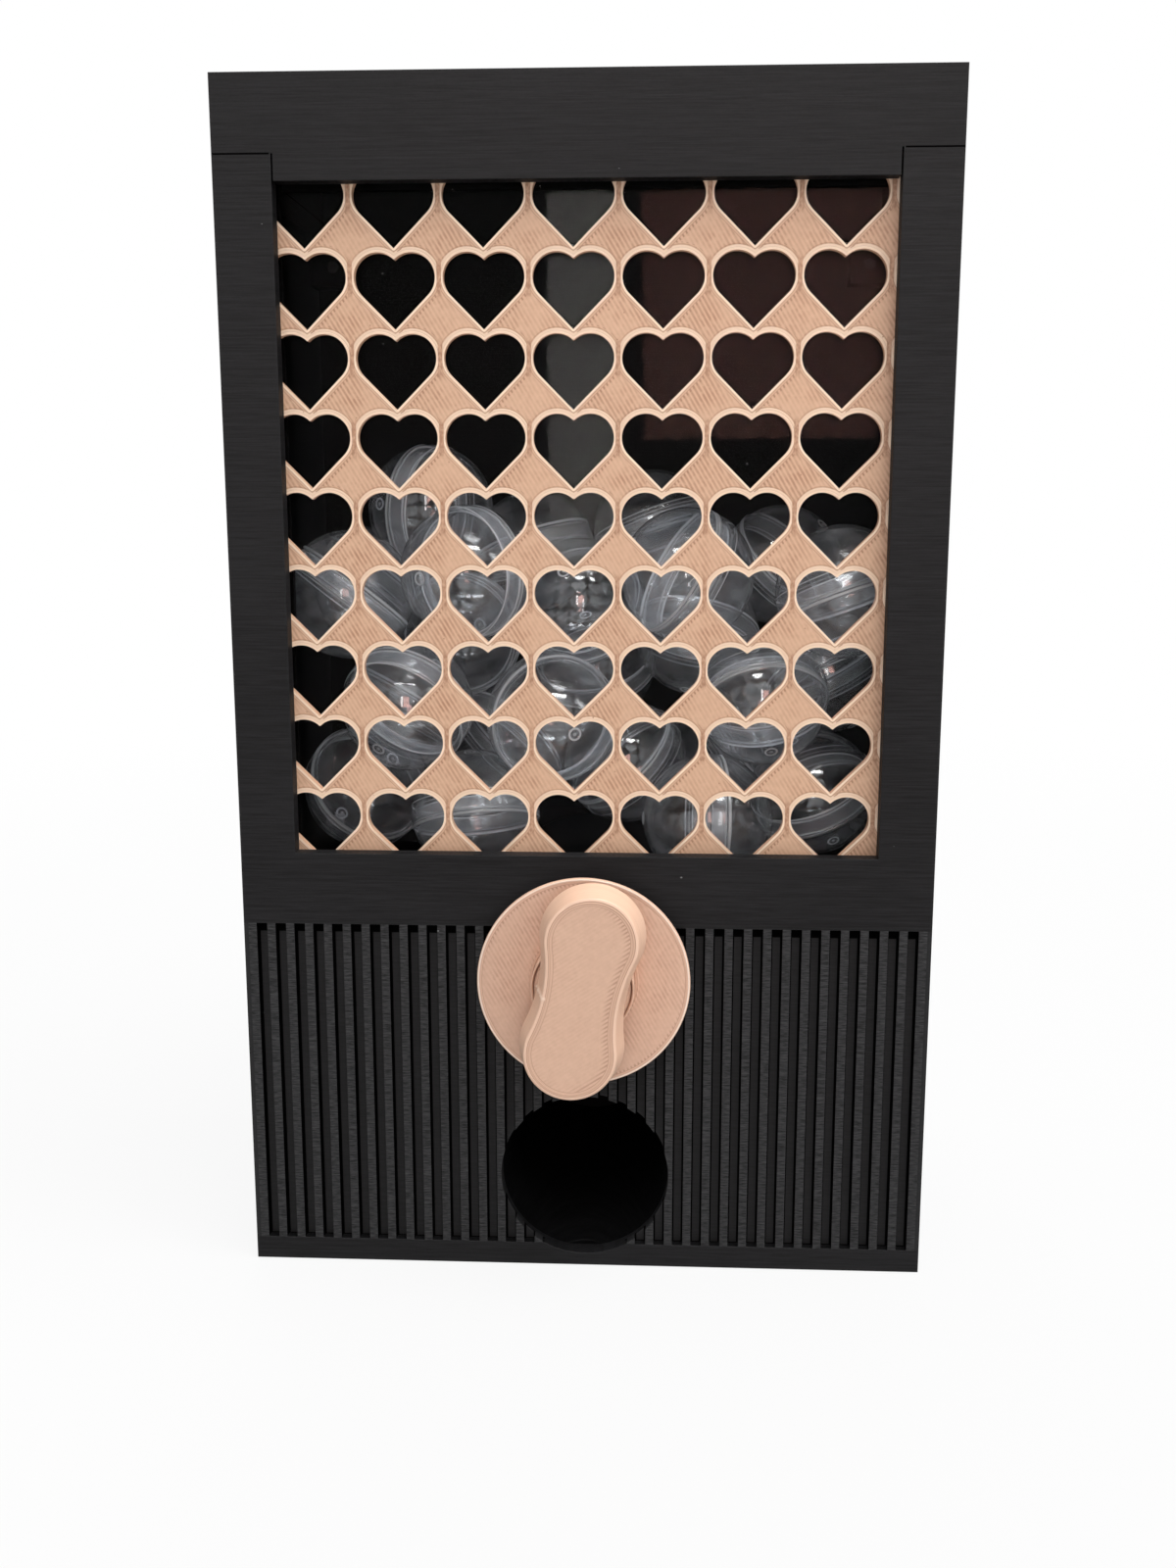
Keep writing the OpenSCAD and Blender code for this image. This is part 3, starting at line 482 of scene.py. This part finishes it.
def knob_tones(name, lean, pitch, strength, comb, reach, shine, beads):
    """The knob's printed faces and sides. The attribute edge is the distance to the outline, and
    turn is how far the outline there faces the filling's run: where it does, the lines' turns
    show as a comb of dark strokes of this strength and reach. The attribute seam is where each
    layer starts, which leaves bright blobs."""
    s = new_material(name)
    face = s.between(s.facing(1), 0.85, 0.97)
    edge = s.add("Attribute", attribute_name="edge").outputs["Fac"]
    turn = s.add("Attribute", attribute_name="turn").outputs["Fac"]
    count = count_across(s, pitch, lean, 1)
    tone, height, rim = printed_face(s, edge, count, 0.0, strength, beads)
    last = beads * BEAD
    tooth = s.math("MULTIPLY", s.between(ridges(s, count), 0.35, 0.85), turn)
    tooth = s.math("MULTIPLY", tooth, s.between(edge, last + 0.3, reach, 1, 0))
    tooth = s.math("MULTIPLY", tooth, s.between(edge, last + 0.1, last + 0.25))
    tone = s.math("MULTIPLY_ADD", tooth, -comb, tone)
    height = s.math("MULTIPLY_ADD", tooth, -comb, height)
    layers = side_layers(s)
    tone = s.colour(face, s.math("MULTIPLY_ADD", layers, 0.9, 0.5), tone)
    height = s.colour(face, layers, height)
    seam = s.add("Attribute", attribute_name="seam").outputs["Fac"]
    blobs = s.between(s.noise((1.5, 0.9, 1.5), detail=2), 0.4, 0.6)
    # The rim bead's painted sheen, scaled by shine
    rim = s.math("MULTIPLY", s.math("MULTIPLY", rim, face), shine)
    return s, tone, height, s.math("MAXIMUM", rim, s.math("MULTIPLY", seam, blobs))


def mirror_share(s, straight_on):
    """How much of the light a thin sheet mirrors: this share straight on, and more by the fifth
    power of how far the sheet turns away."""
    away = s.add("LayerWeight", {"Blend": 0.5}).outputs["Facing"]
    return s.math("MULTIPLY_ADD", s.math("POWER", away, 5.0), 1 - straight_on, straight_on)


def pane_sheet():
    """Clear sheet: lets light through, mirrors a little, and has a few dust specks."""
    s = new_material("clear_sheet")
    gloss = s.add("BsdfAnisotropic", {"Color": (1, 1, 1, 1), "Roughness": 0.02})
    clear = s.add("BsdfTransparent", {"Color": (0.97, 0.97, 0.97, 1)})
    dust = s.add("BsdfDiffuse", {"Color": (0.6, 0.6, 0.6, 1)})
    share = mirror_share(s, PANE_MIRROR)
    sheet = s.add("MixShader", {0: share, 1: clear.outputs[0], 2: gloss.outputs[0]})
    speck = s.math("MULTIPLY", s.specks((5, 50, 5), 0.25, 0.035), 0.5)
    return s.finish(s.add("MixShader", {0: speck, 1: sheet.outputs[0], 2: dust.outputs[0]}))


def capsule_plastic():
    """Thin clear moulded plastic. It hardly bends what is behind it. It is milky in swirls, more
    so where the wall is seen edge on, and most along its steps, which the attribute ring
    marks. Lamps shine through it."""
    s = new_material("clear_capsule")
    ring = s.add("Attribute", attribute_name="ring").outputs["Fac"]
    away = s.add("LayerWeight", {"Blend": 0.5}).outputs["Facing"]
    swirl = s.between(s.noise((8, 8, 4), detail=4, rough=0.65), 0.35, 0.75, 0.006, 0.066)
    milky = s.math("DIVIDE", swirl, s.math("SUBTRACT", 1.06, away))
    milky = s.math("MULTIPLY_ADD", ring, 0.9, milky, clamp=True)
    inputs = {"Color": (0.95, 0.96, 0.97, 1), "Roughness": 0.0, "IOR": 1.01}
    straight = s.add("BsdfRefraction", inputs)
    milk = s.add("BsdfDiffuse", {"Color": (0.78, 0.81, 0.85, 1)})
    body = s.add("MixShader", {0: milky, 1: straight.outputs[0], 2: milk.outputs[0]})
    waves = s.bump(s.noise((9, 9, 9), detail=1), 0.012)
    gloss = s.add("BsdfAnisotropic", {"Color": (1, 1, 1, 1), "Roughness": 0.05, "Normal": waves})
    share = mirror_share(s, CAPSULE_MIRROR)
    body = s.add("MixShader", {0: share, 1: body.outputs[0], 2: gloss.outputs[0]})
    clear = s.add("BsdfTransparent", {"Color": (0.93, 0.94, 0.95, 1)})
    lamp = s.add("LightPath").outputs["Is Shadow Ray"]
    return s.finish(s.add("MixShader", {0: lamp, 1: body.outputs[0], 2: clear.outputs[0]}))


def bright_metal(name, base, roughness):
    """Turned metal: fine rings of scratches and a little unevenness."""
    s = new_material(name)
    scratch = s.noise((4, 0.12, 4), detail=3, rough=0.7)
    tone = s.noise((5, 5, 5), detail=2)
    dark = tuple(0.8 * v for v in base)
    inputs = {"Base Color": ramp(s, tone, dark, base), "Metallic": 1.0}
    inputs["Roughness"] = s.between(scratch, 0.2, 0.8, roughness, roughness + 0.15)
    inputs["Normal"] = s.bump(scratch, 0.01, s.round_edges(0.1))
    return s.finish(s.add("BsdfPrincipled", inputs))


BLACK = black_print("black_print", 0.0025, 0.0114)
BLACK_LID = black_print("black_print_lid", 0.0030, 0.0102)
ROSE_GRILLE = grille_print()
ROSE_DISC = disc_print()
ROSE_GRIP = grip_print()
SHEET = pane_sheet()
CAPSULE = capsule_plastic()
STEEL = bright_metal("steel", (0.56, 0.56, 0.58), 0.28)
BLACK_STEEL = bright_metal("blackened_steel", (0.045, 0.045, 0.048), 0.4)
BRASS = bright_metal("brass", (0.72, 0.5, 0.2), 0.3)


def finish_node(name, material):
    materials = nodes[name].data.materials
    materials.clear()
    materials.append(material)


for black_part in ("cabinet_shell", "rear_cover", "hopper_floor", "rotor_housing",
                   "housing_end_plate", "outlet_chute", "dispensing_rotor"):
    finish_node(black_part, BLACK)
for steel_part in ("hopper_screws", "housing_screws", "end_plate_screws",
                   "chute_screws", "drive_shaft", "rotor_screw", "thrust_washer"):
    finish_node(steel_part, STEEL)
for brass_part in ("front_bush", "rear_bush"):
    finish_node(brass_part, BRASS)
finish_node("lid", BLACK_LID)
finish_node("rear_cover_screws", BLACK_STEEL)
finish_node("heart_grille", ROSE_GRILLE)
finish_node("window_pane", SHEET)


def grid_faces(rows, cols, close_rows=False, close_cols=False):
    """Quads of a grid: point (i, j) with (i, j+1), (i+1, j+1) and (i+1, j)."""
    i = np.arange(rows if close_rows else rows - 1)
    j = np.arange(cols if close_cols else cols - 1)
    a, b = np.meshgrid(i, j, indexing="ij")
    after, beside = (a + 1) % rows, (b + 1) % cols
    quads = np.stack([a * cols + b, a * cols + beside, after * cols + beside, after * cols + b], -1)
    return quads.reshape(-1, 4)


def copies(faces, points_each, count):
    """The same faces for each of several equal sets of points."""
    shift = np.arange(count)[:, None, None] * points_each
    return (faces[None] + shift).reshape(-1, faces.shape[1])


def piece(name, points, faces, material, body, replaced=()):
    """A smooth-shaded mesh from points in millimetres, which rides on a body."""
    mesh = bpy.data.meshes.new(name)
    mesh.from_pydata((points.reshape(-1, 3) * MM).tolist(), [], faces.tolist())
    mesh.validate()
    mesh.polygons.foreach_set("use_smooth", np.ones(len(mesh.polygons), bool))
    mesh.materials.append(material)
    mesh.update()
    thing = bpy.data.objects.new(name, mesh)
    bpy.context.scene.collection.objects.link(thing)
    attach(thing, body)
    if replaced:
        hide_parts(*replaced)
    return thing


def arc(centre, radius, start, end, count):
    """Points along an arc, from a start angle to an end angle in degrees."""
    angle = np.radians(np.linspace(start, end, count))
    return np.stack([centre[0] + radius * np.cos(angle), centre[1] + radius * np.sin(angle)], -1)


def turned_knob(points):
    """Turns points about the knob's axis to its place at rest."""
    angle = radians(KNOB_TURN)
    x, z = points[..., 0].copy(), points[..., 2].copy()
    points[..., 0] = x * np.cos(angle) + z * np.sin(angle)
    points[..., 2] = z * np.cos(angle) - x * np.sin(angle) + AXIS_Z
    return points


def revolved_knob(profile, count):
    """A profile of (radius, y) carried round the knob's axis."""
    angle = np.linspace(0, 2 * pi, count, endpoint=False)
    points = np.empty((len(profile), count, 3))
    points[..., 0] = profile[:, :1] * np.cos(angle)
    points[..., 1] = profile[:, 1:]
    points[..., 2] = profile[:, :1] * np.sin(angle)
    return turned_knob(points)


def bead_row(start, end, count, level, dip):
    """Beads side by side from one radius or inset to another: level minus a dip between them,
    as level - dip * (1 - |sin|)."""
    t = np.linspace(0, count, count * 6 + 1)
    height = level - dip * (1 - np.abs(np.sin(pi * t)))
    return np.stack([start + (end - start) * t / count, height], -1)


def keep(thing, name, values):
    """Keeps a number for each point of a piece, which its material reads by this name."""
    attribute = thing.data.attributes.new(name, "FLOAT", "POINT")
    attribute.data.foreach_set("value", np.asarray(values, np.float32).ravel())


def with_edges(thing, edge, turn):
    """Keeps each point's distance to the face's outline, and how the outline faces there."""
    keep(thing, "edge", edge)
    keep(thing, "turn", turn)


def facing_run(angle, lean):
    """How far an outline that faces this angle faces along lines that lean by this angle."""
    return np.clip(np.abs(np.cos(angle - radians(lean))) * 2.2 - 1.1, 0, 1)


def knob_disc():
    """A disc with two beads round its hole, a filled ring, and two beads at its rim, which is
    thinned from behind."""
    front, back = disc_low[1], disc_high[1]
    hole = BOSS_R + 0.05
    inner = bead_row(hole, hole + 2 * BEAD, 2, 0, 0.07)
    outer = bead_row(DISC_R - 2 * BEAD, DISC_R - 0.12, 2, 0, 0.07)
    flat = np.linspace(hole + 2 * BEAD + 0.1, DISC_R - 2 * BEAD - 0.1, 8)
    flat = np.stack([flat, np.full(8, -0.05)], -1)
    face = np.concatenate([inner, flat, outer])
    face[:, 1] = front - face[:, 1]
    behind = DISC_R - 0.6 - (DISC_IN - 0.6) * DISC_RIM / 2 / (back - front - DISC_RIM / 2)
    rim = np.array([[DISC_R, front + 0.2], [DISC_R, front + DISC_RIM - 0.15],
                    [DISC_R - 0.15, front + DISC_RIM], [behind, front + DISC_RIM],
                    [DISC_R - DISC_IN, back], [hole, back]])
    profile = np.concatenate([face, rim])
    count = 240
    faces = grid_faces(len(profile), count, close_rows=True, close_cols=True)
    disc = piece("knob_disc_print", revolved_knob(profile, count), faces, ROSE_DISC, "rotor",
                 ["knob_disc"])
    edge = np.minimum(DISC_R - profile[:, :1], profile[:, :1] - hole + 0.6)
    angle = np.linspace(0, 2 * pi, count, endpoint=False) - radians(KNOB_TURN)
    turn = np.repeat(facing_run(angle, DISC_LEAN)[None], len(profile), 0)
    with_edges(disc, np.repeat(edge, count, 1), turn)


def grip_outline():
    """The grip's outline at its foot, clockwise from the top, with its outward normals: half a
    lobe, a hollow flank, the other lobe, the other flank, and half a lobe again."""
    flank_r = (LOBE_OFF**2 + WAIST**2 - LOBE_R**2) / (2 * (LOBE_R - WAIST))
    far = flank_r + WAIST
    lean = np.degrees(atan(LOBE_OFF / far))
    steps = 60
    top = arc((0, 0), 1, 90, -lean, steps)
    flank = arc((0, 0), 1, 180 - lean, 180 + lean, 61)[1:-1]
    half = np.concatenate([top * LOBE_R + (0, LOBE_OFF), flank * flank_r + (far, 0)])
    half_normals = np.concatenate([top, -flank])
    right = np.concatenate([half, half[steps - 1::-1] * (1, -1)])
    right_normals = np.concatenate([half_normals, half_normals[steps - 1::-1] * (1, -1)])
    points = np.concatenate([right, right[-2:0:-1] * (-1, 1)])
    normals = np.concatenate([right_normals, right_normals[-2:0:-1] * (-1, 1)])
    return points, normals


def across(count):
    """Quads that fill a symmetric ring from side to side, from its first point to its middle."""
    k = np.arange(count // 2)
    return np.stack([k, k + 1, count - k - 1, (count - k) % count], -1)


def knob_grip():
    """The grip and its boss, which has a narrow slit round it. A ring at inset m and height h is
    the outline moved in by m along its normals. The rings go up the drafted side, over the
    bevel, across two beads and the filling, and the last one is filled from side to side. Up
    the left side of the waist runs the seam where each layer starts: the outline stands out by
    a narrow bell curve there, which swells and shrinks with the height."""
    outline, normals = grip_outline()
    top = GRIP_H
    foot_rings = np.array([[2.0, 0.0], [0.15, 0.0]])
    rise = np.linspace(0.15, top - GRIP_BEVEL, 40)
    side = np.stack([GRIP_DRAFT * rise / (top - GRIP_BEVEL), rise], -1)
    bevel = np.array([[GRIP_DRAFT + 0.12, top - 0.2], [GRIP_DRAFT + 0.3, top - 0.04]])
    beads = bead_row(GRIP_DRAFT + GRIP_BEVEL, GRIP_DRAFT + GRIP_BEVEL + 2 * BEAD, 2, top, 0.06)
    inside = beads[-1, 0] + np.array([0.12, 0.5, 1.2, 2.0, 2.8, 3.6, 4.4])
    filling = np.stack([inside, np.full(len(inside), top - 0.05)], -1)
    section = np.concatenate([foot_rings, side, bevel, beads, filling])
    count = len(outline)
    flat = outline[None] - section[:, None, :1] * normals[None]
    from_seam = (outline[:, 1] - SEAM_HEIGHT) / SEAM_WIDTH
    seam = np.exp(-(from_seam**2)) * (outline[:, 0] < 0)
    swell = 0.3 + 0.14 * np.sin(2 * pi * rise / 1.3) + 0.1 * np.sin(2 * pi * rise / 0.47 + 1)
    drafted = slice(len(foot_rings), len(foot_rings) + len(rise))
    flat[drafted] += swell[:, None, None] * seam[None, :, None] * normals[None]
    points = np.empty((len(section), count, 3))
    points[..., 0] = flat[..., 0]
    points[..., 1] = GRIP_Y - section[:, None, 1]
    points[..., 2] = flat[..., 1]
    faces = grid_faces(len(section), count, close_cols=True)[:, ::-1]
    cap = across(count)[:, ::-1] + (len(section) - 1) * count
    foot = across(count)
    body_points = turned_knob(points).reshape(-1, 3)
    bore, boss_count = 4, 160
    boss_beads = bead_row(9.0, BOSS_R - 0.85, 4, 0, 0.03)
    boss_beads[:, 1] = GRIP_Y + BOSS_SLIT - boss_beads[:, 1]
    slit = np.array([[BOSS_R - 0.8, 3.4], [BOSS_R - 0.44, 3.4], [BOSS_R - 0.42, 0.0],
                     [BOSS_R - 0.1, 0.0], [BOSS_R, 0.2]]) + (0, GRIP_Y + BOSS_SLIT)
    boss = np.concatenate([
        [[bore, GRIP_Y + BOSS_SLIT]], boss_beads, slit,
        [[BOSS_R, disc_high[1]], [bore, disc_high[1]]],
    ])
    boss_points = revolved_knob(boss, boss_count).reshape(-1, 3)
    boss_faces = grid_faces(len(boss), boss_count, close_rows=True, close_cols=True)
    faces = np.concatenate([faces, cap, foot, boss_faces + len(body_points)])
    grip = piece("knob_grip_print", np.concatenate([body_points, boss_points]), faces, ROSE_GRIP,
                 "rotor", ["knob_grip"])
    edge = np.maximum(section[:, 0] - GRIP_DRAFT - GRIP_BEVEL * 0.6, 0)
    right = np.clip(normals[:, 0] * 1.6, 0.12, 1)
    boss_edge = np.repeat(BOSS_R - boss[:, 0] + 0.6, boss_count)
    with_edges(grip, np.concatenate([np.repeat(edge, count), boss_edge]),
               np.concatenate([np.tile(right, len(section)), np.zeros(len(boss_edge))]))
    on_side = (section[:, 0] > 0.1) & (section[:, 0] < GRIP_DRAFT + GRIP_BEVEL + BEAD)
    keep(grip, "seam", np.concatenate([(on_side[:, None] * seam[None]).ravel(), 0 * boss_edge]))


knob_disc()
knob_grip()


def solids_of(node):
    """Splits a node's triangles into closed solids. Each corner takes the lowest number among
    its triangles' corners, until nothing changes."""
    mesh = nodes[node].data
    mesh.calc_loop_triangles()
    points = np.empty(len(mesh.vertices) * 3)
    mesh.vertices.foreach_get("co", points)
    corners = np.empty(len(mesh.loop_triangles) * 3, int)
    mesh.loop_triangles.foreach_get("vertices", corners)
    spots, same = np.unique(np.round(points.reshape(-1, 3) / MM, 3), axis=0, return_inverse=True)
    triangles = same.ravel()[corners.reshape(-1, 3)]
    label = np.arange(len(spots))
    while True:
        lowest = np.repeat(label[triangles].min(1), 3)
        new = label.copy()
        np.minimum.at(new, triangles.ravel(), lowest)
        new = new[new]
        if (new == label).all():
            break
        label = new
    owner = label[triangles[:, 0]]
    return [spots[triangles[owner == k]] for k in np.unique(owner)]


def capsule_frames():
    """Centre and axis of each capsule. The centre is the least squares solution of
    |p|^2 = 2 p.c + k over the cap's outer corners, and the axis points to its middle."""
    frames = []
    for triangles in solids_of("capsule_caps"):
        corners = triangles.reshape(-1, 3)
        chosen = corners
        for _ in range(4):
            system = np.column_stack([2 * chosen, np.ones(len(chosen))])
            centre = np.linalg.lstsq(system, (chosen**2).sum(1), rcond=None)[0][:3]
            reach = np.linalg.norm(corners - centre, axis=1)
            chosen = corners[reach > CAPSULE_R - CAPSULE_WALL / 2]
        edge = triangles[:, 1:] - triangles[:, :1]
        area = np.linalg.norm(np.cross(edge[:, 0], edge[:, 1]), axis=1)
        middle = (triangles.mean(1) * area[:, None]).sum(0) / area.sum()
        axis = (middle - centre) / np.linalg.norm(middle - centre)
        frames.append((centre, axis))
    return frames


def ball_profile(radius, from_z, to_z, count):
    """Part of a ball's outline as (radius, z), between two heights."""
    start, end = np.arccos(np.clip(np.array([from_z, to_z]) / radius, -1, 1))
    angle = np.linspace(start, end, count)
    return np.stack([radius * np.sin(angle), radius * np.cos(angle)], -1)


def gate_mark(radius):
    """The small ring and nub that moulding leaves at the pole, as (radius, z, milkiness)."""
    r = np.array([0, 0.35, 0.5, 1.05, 1.2, 1.55, 1.7])
    rise = np.array([0.12, 0.1, -0.1, -0.1, 0.14, 0.14, 0.0])
    milky = np.array([0.5, 0.8, 0.1, 0.1, 1.0, 1.0, 0.1])
    return np.stack([r, np.sqrt(radius**2 - r**2) + rise, milky], -1)


def clear_part(profile):
    """The same profile, with no extra milkiness."""
    return np.column_stack([profile, np.zeros(len(profile))])


def cap_profile():
    """Cap: gate mark, ball, a low step, and a skirt past the equator with a rounded rim. The
    inside is a smaller ball."""
    inner = CAPSULE_R - CAPSULE_WALL
    outside = ball_profile(CAPSULE_R, CAPSULE_R * 0.9925, 3.4, 20)
    belt = np.array([[15.72, 3.2, 0.3], [15.92, 3.05, 1.0], [15.98, 2.7, 0.1], [16.08, 2.0, 0.05],
                     [16.12, 0.5, 0.05], [16.1, -1.2, 0.1], [16.0, -1.75, 0.6], [15.7, -SKIRT, 1.0],
                     [15.4, -1.9, 0.6], [15.3, -1.6, 0.1], [15.3, 1.9, 0.05], [15.12, 2.2, 0.5]])
    inside = ball_profile(inner, 2.4, inner * 0.9999, 20)
    inside = np.concatenate([inside, [[0, inner]]])
    return np.concatenate([gate_mark(CAPSULE_R), clear_part(outside), belt, clear_part(inside)])


def bowl_profile():
    """Bowl: gate mark, ball, a bead under the cap's skirt, and a collar inside the skirt."""
    inner = CAPSULE_R - CAPSULE_WALL
    outside = ball_profile(CAPSULE_R, CAPSULE_R * 0.9925, 3.3, 20)
    belt = np.array([[15.8, 3.1, 0.2], [15.98, 2.85, 0.9], [16.02, 2.5, 0.9], [15.9, 2.2, 0.3],
                     [15.5, 2.1, 0.1], [15.15, 2.1, 0.1], [15.05, 1.9, 0.05], [15.05, -1.1, 0.1],
                     [14.85, -1.5, 0.9], [14.55, -1.5, 0.9], [14.4, -1.1, 0.1], [14.4, 1.9, 0.05],
                     [14.7, 2.6, 0.1]])
    inside = ball_profile(inner, 3.2, inner * 0.9999, 20)
    inside = np.concatenate([inside, [[0, inner]]])
    return np.concatenate([gate_mark(CAPSULE_R), clear_part(outside), belt, clear_part(inside)])


def capsule_halves(name, profile, sign, replaced):
    """A profile carried round each capsule's axis, turned over for the bowls."""
    count = 64
    angle = np.linspace(0, 2 * pi, count, endpoint=False)
    frames = capsule_frames()
    centre = np.array([c for c, _ in frames])[:, None, None]
    axis = sign * np.array([a for _, a in frames])
    helper = np.where(np.abs(axis[:, 2:]) < 0.9, [[0.0, 0.0, 1.0]], [[1.0, 0.0, 0.0]])
    across_x = np.cross(helper, axis)
    across_x /= np.linalg.norm(across_x, axis=1)[:, None]
    across_y = np.cross(axis, across_x)
    radius, height = profile[None, :, None, :1], profile[None, :, None, 1:2]
    swing = np.cos(angle)[None, None, :, None] * across_x[:, None, None]
    swing = swing + np.sin(angle)[None, None, :, None] * across_y[:, None, None]
    points = centre + radius * swing + height * axis[:, None, None]
    faces = grid_faces(len(profile), count, close_cols=True)
    faces = copies(faces, len(profile) * count, len(frames))
    halves = piece(name, points, faces, CAPSULE, "cabinet", replaced)
    keep(halves, "ring", np.tile(np.repeat(profile[:, 2], count), len(frames)))


capsule_halves("capsule_caps_moulded", cap_profile(), 1, ["capsule_caps"])
capsule_halves("capsule_bowls_moulded", bowl_profile(), -1, ["capsule_bowls"])


def seen_directly(s):
    """1 for rays from the camera, and for what is seen in a mirror or through glass."""
    path = s.add("LightPath").outputs
    both = s.math("MAXIMUM", path["Is Camera Ray"], path["Is Glossy Ray"])
    return s.math("MAXIMUM", both, path["Is Transmission Ray"])


def pale_floor():
    """A wide pale floor that keeps the soft shadow round the cabinet, and fades to plain white
    further out."""
    reach = 6.0
    mesh = bpy.data.meshes.new("floor")
    low = -0.0003
    mesh.from_pydata([(-reach, -reach, low), (reach, -reach, low), (reach, reach, low),
                      (-reach, reach, low)], [], [(0, 1, 2, 3)])
    s = new_material("floor_white")
    white = s.add("BsdfDiffuse", {"Color": (0.5, 0.5, 0.5, 1)})
    glow = s.add("Emission", {"Color": (1, 1, 1, 1), "Strength": 1.0})
    x, y, _ = s.axes(s.place())
    glowing = s.between(hypot(s, x, y), 0.3, 0.9, 0.89, 1.0)
    share = s.math("MULTIPLY", seen_directly(s), glowing)
    mixed = s.add("MixShader", {0: share, 1: white.outputs[0], 2: glow.outputs[0]})
    mesh.materials.append(s.finish(mixed))
    floor = bpy.data.objects.new("floor", mesh)
    bpy.context.scene.collection.objects.link(floor)


def white_world():
    """White where it is seen. Its light comes mostly from above, as in a room."""
    world = bpy.data.worlds.new("white_room")
    bpy.context.scene.world = world
    s = Shader(world)
    up = s.axes(s.add("TexCoord").outputs["Generated"])[2]
    light = s.between(up, 0.0, 0.9, WORLD_LOW, WORLD_HIGH)
    strength = s.add("Mix", {0: seen_directly(s), 2: light, 3: 1.0}, data_type="FLOAT")
    s.finish(s.add("Background", {"Color": (1, 1, 1, 1), "Strength": strength.outputs[0]}))


def softbox(name, place, aim, size, glow, tint=(1, 1, 1), diffuse=True):
    """A rectangular lamp of this radiance, which the camera doesn't see. One without diffuse
    light shows only as a reflection."""
    data = bpy.data.lights.new(name, "AREA")
    data.shape = "RECTANGLE"
    data.size, data.size_y = size
    data.energy = glow * pi * size[0] * size[1]
    data.color = tint
    lamp = bpy.data.objects.new(name, data)
    lamp.location = place
    lamp.rotation_euler = (Vector(aim) - Vector(place)).to_track_quat("-Z", "Y").to_euler()
    lamp.visible_camera = False
    lamp.visible_diffuse = diffuse
    bpy.context.scene.collection.objects.link(lamp)


pale_floor()
white_world()

# Seen in the pane and on the capsules only
PANE_MIDDLE = (0, -0.04, 0.2)
softbox("strip_behind_camera", (-0.075, -1.55, 0.45), PANE_MIDDLE, (0.09, 0.7), 11,
        (1, 0.95, 0.92), diffuse=False)
softbox("warm_wall", (0.13, -1.55, 0.5), PANE_MIDDLE, (0.28, 0.5), 6.5,
        (1, 0.5, 0.41), diffuse=False)
softbox("high_band", (0.05, -1.6, 1.9), (0, -0.04, 0.17), (2.1, 0.26), 26, diffuse=False)

# Light on the whole object, most of it from the upper right
softbox("front_above", (0.15, -1.7, 1.75), (0, 0, 0.15), (1.55, 1.25), 1.2)
softbox("top", (0.5, -0.42, 1.9), (0, 0, 0.2), (1.3, 1.0), 9.0)
softbox("right", (1.35, -0.75, 0.85), (0, -0.05, 0.1), (0.6, 0.6), 5.5)
softbox("left", (-1.5, 0.3, 0.9), (0, 0, 0.15), (0.9, 0.9), 0.9)
softbox("behind", (-0.3, 1.6, 1.1), (0, 0, 0.15), (1.3, 1.0), 4.0)

bpy.context.scene.view_settings.view_transform = "Standard"
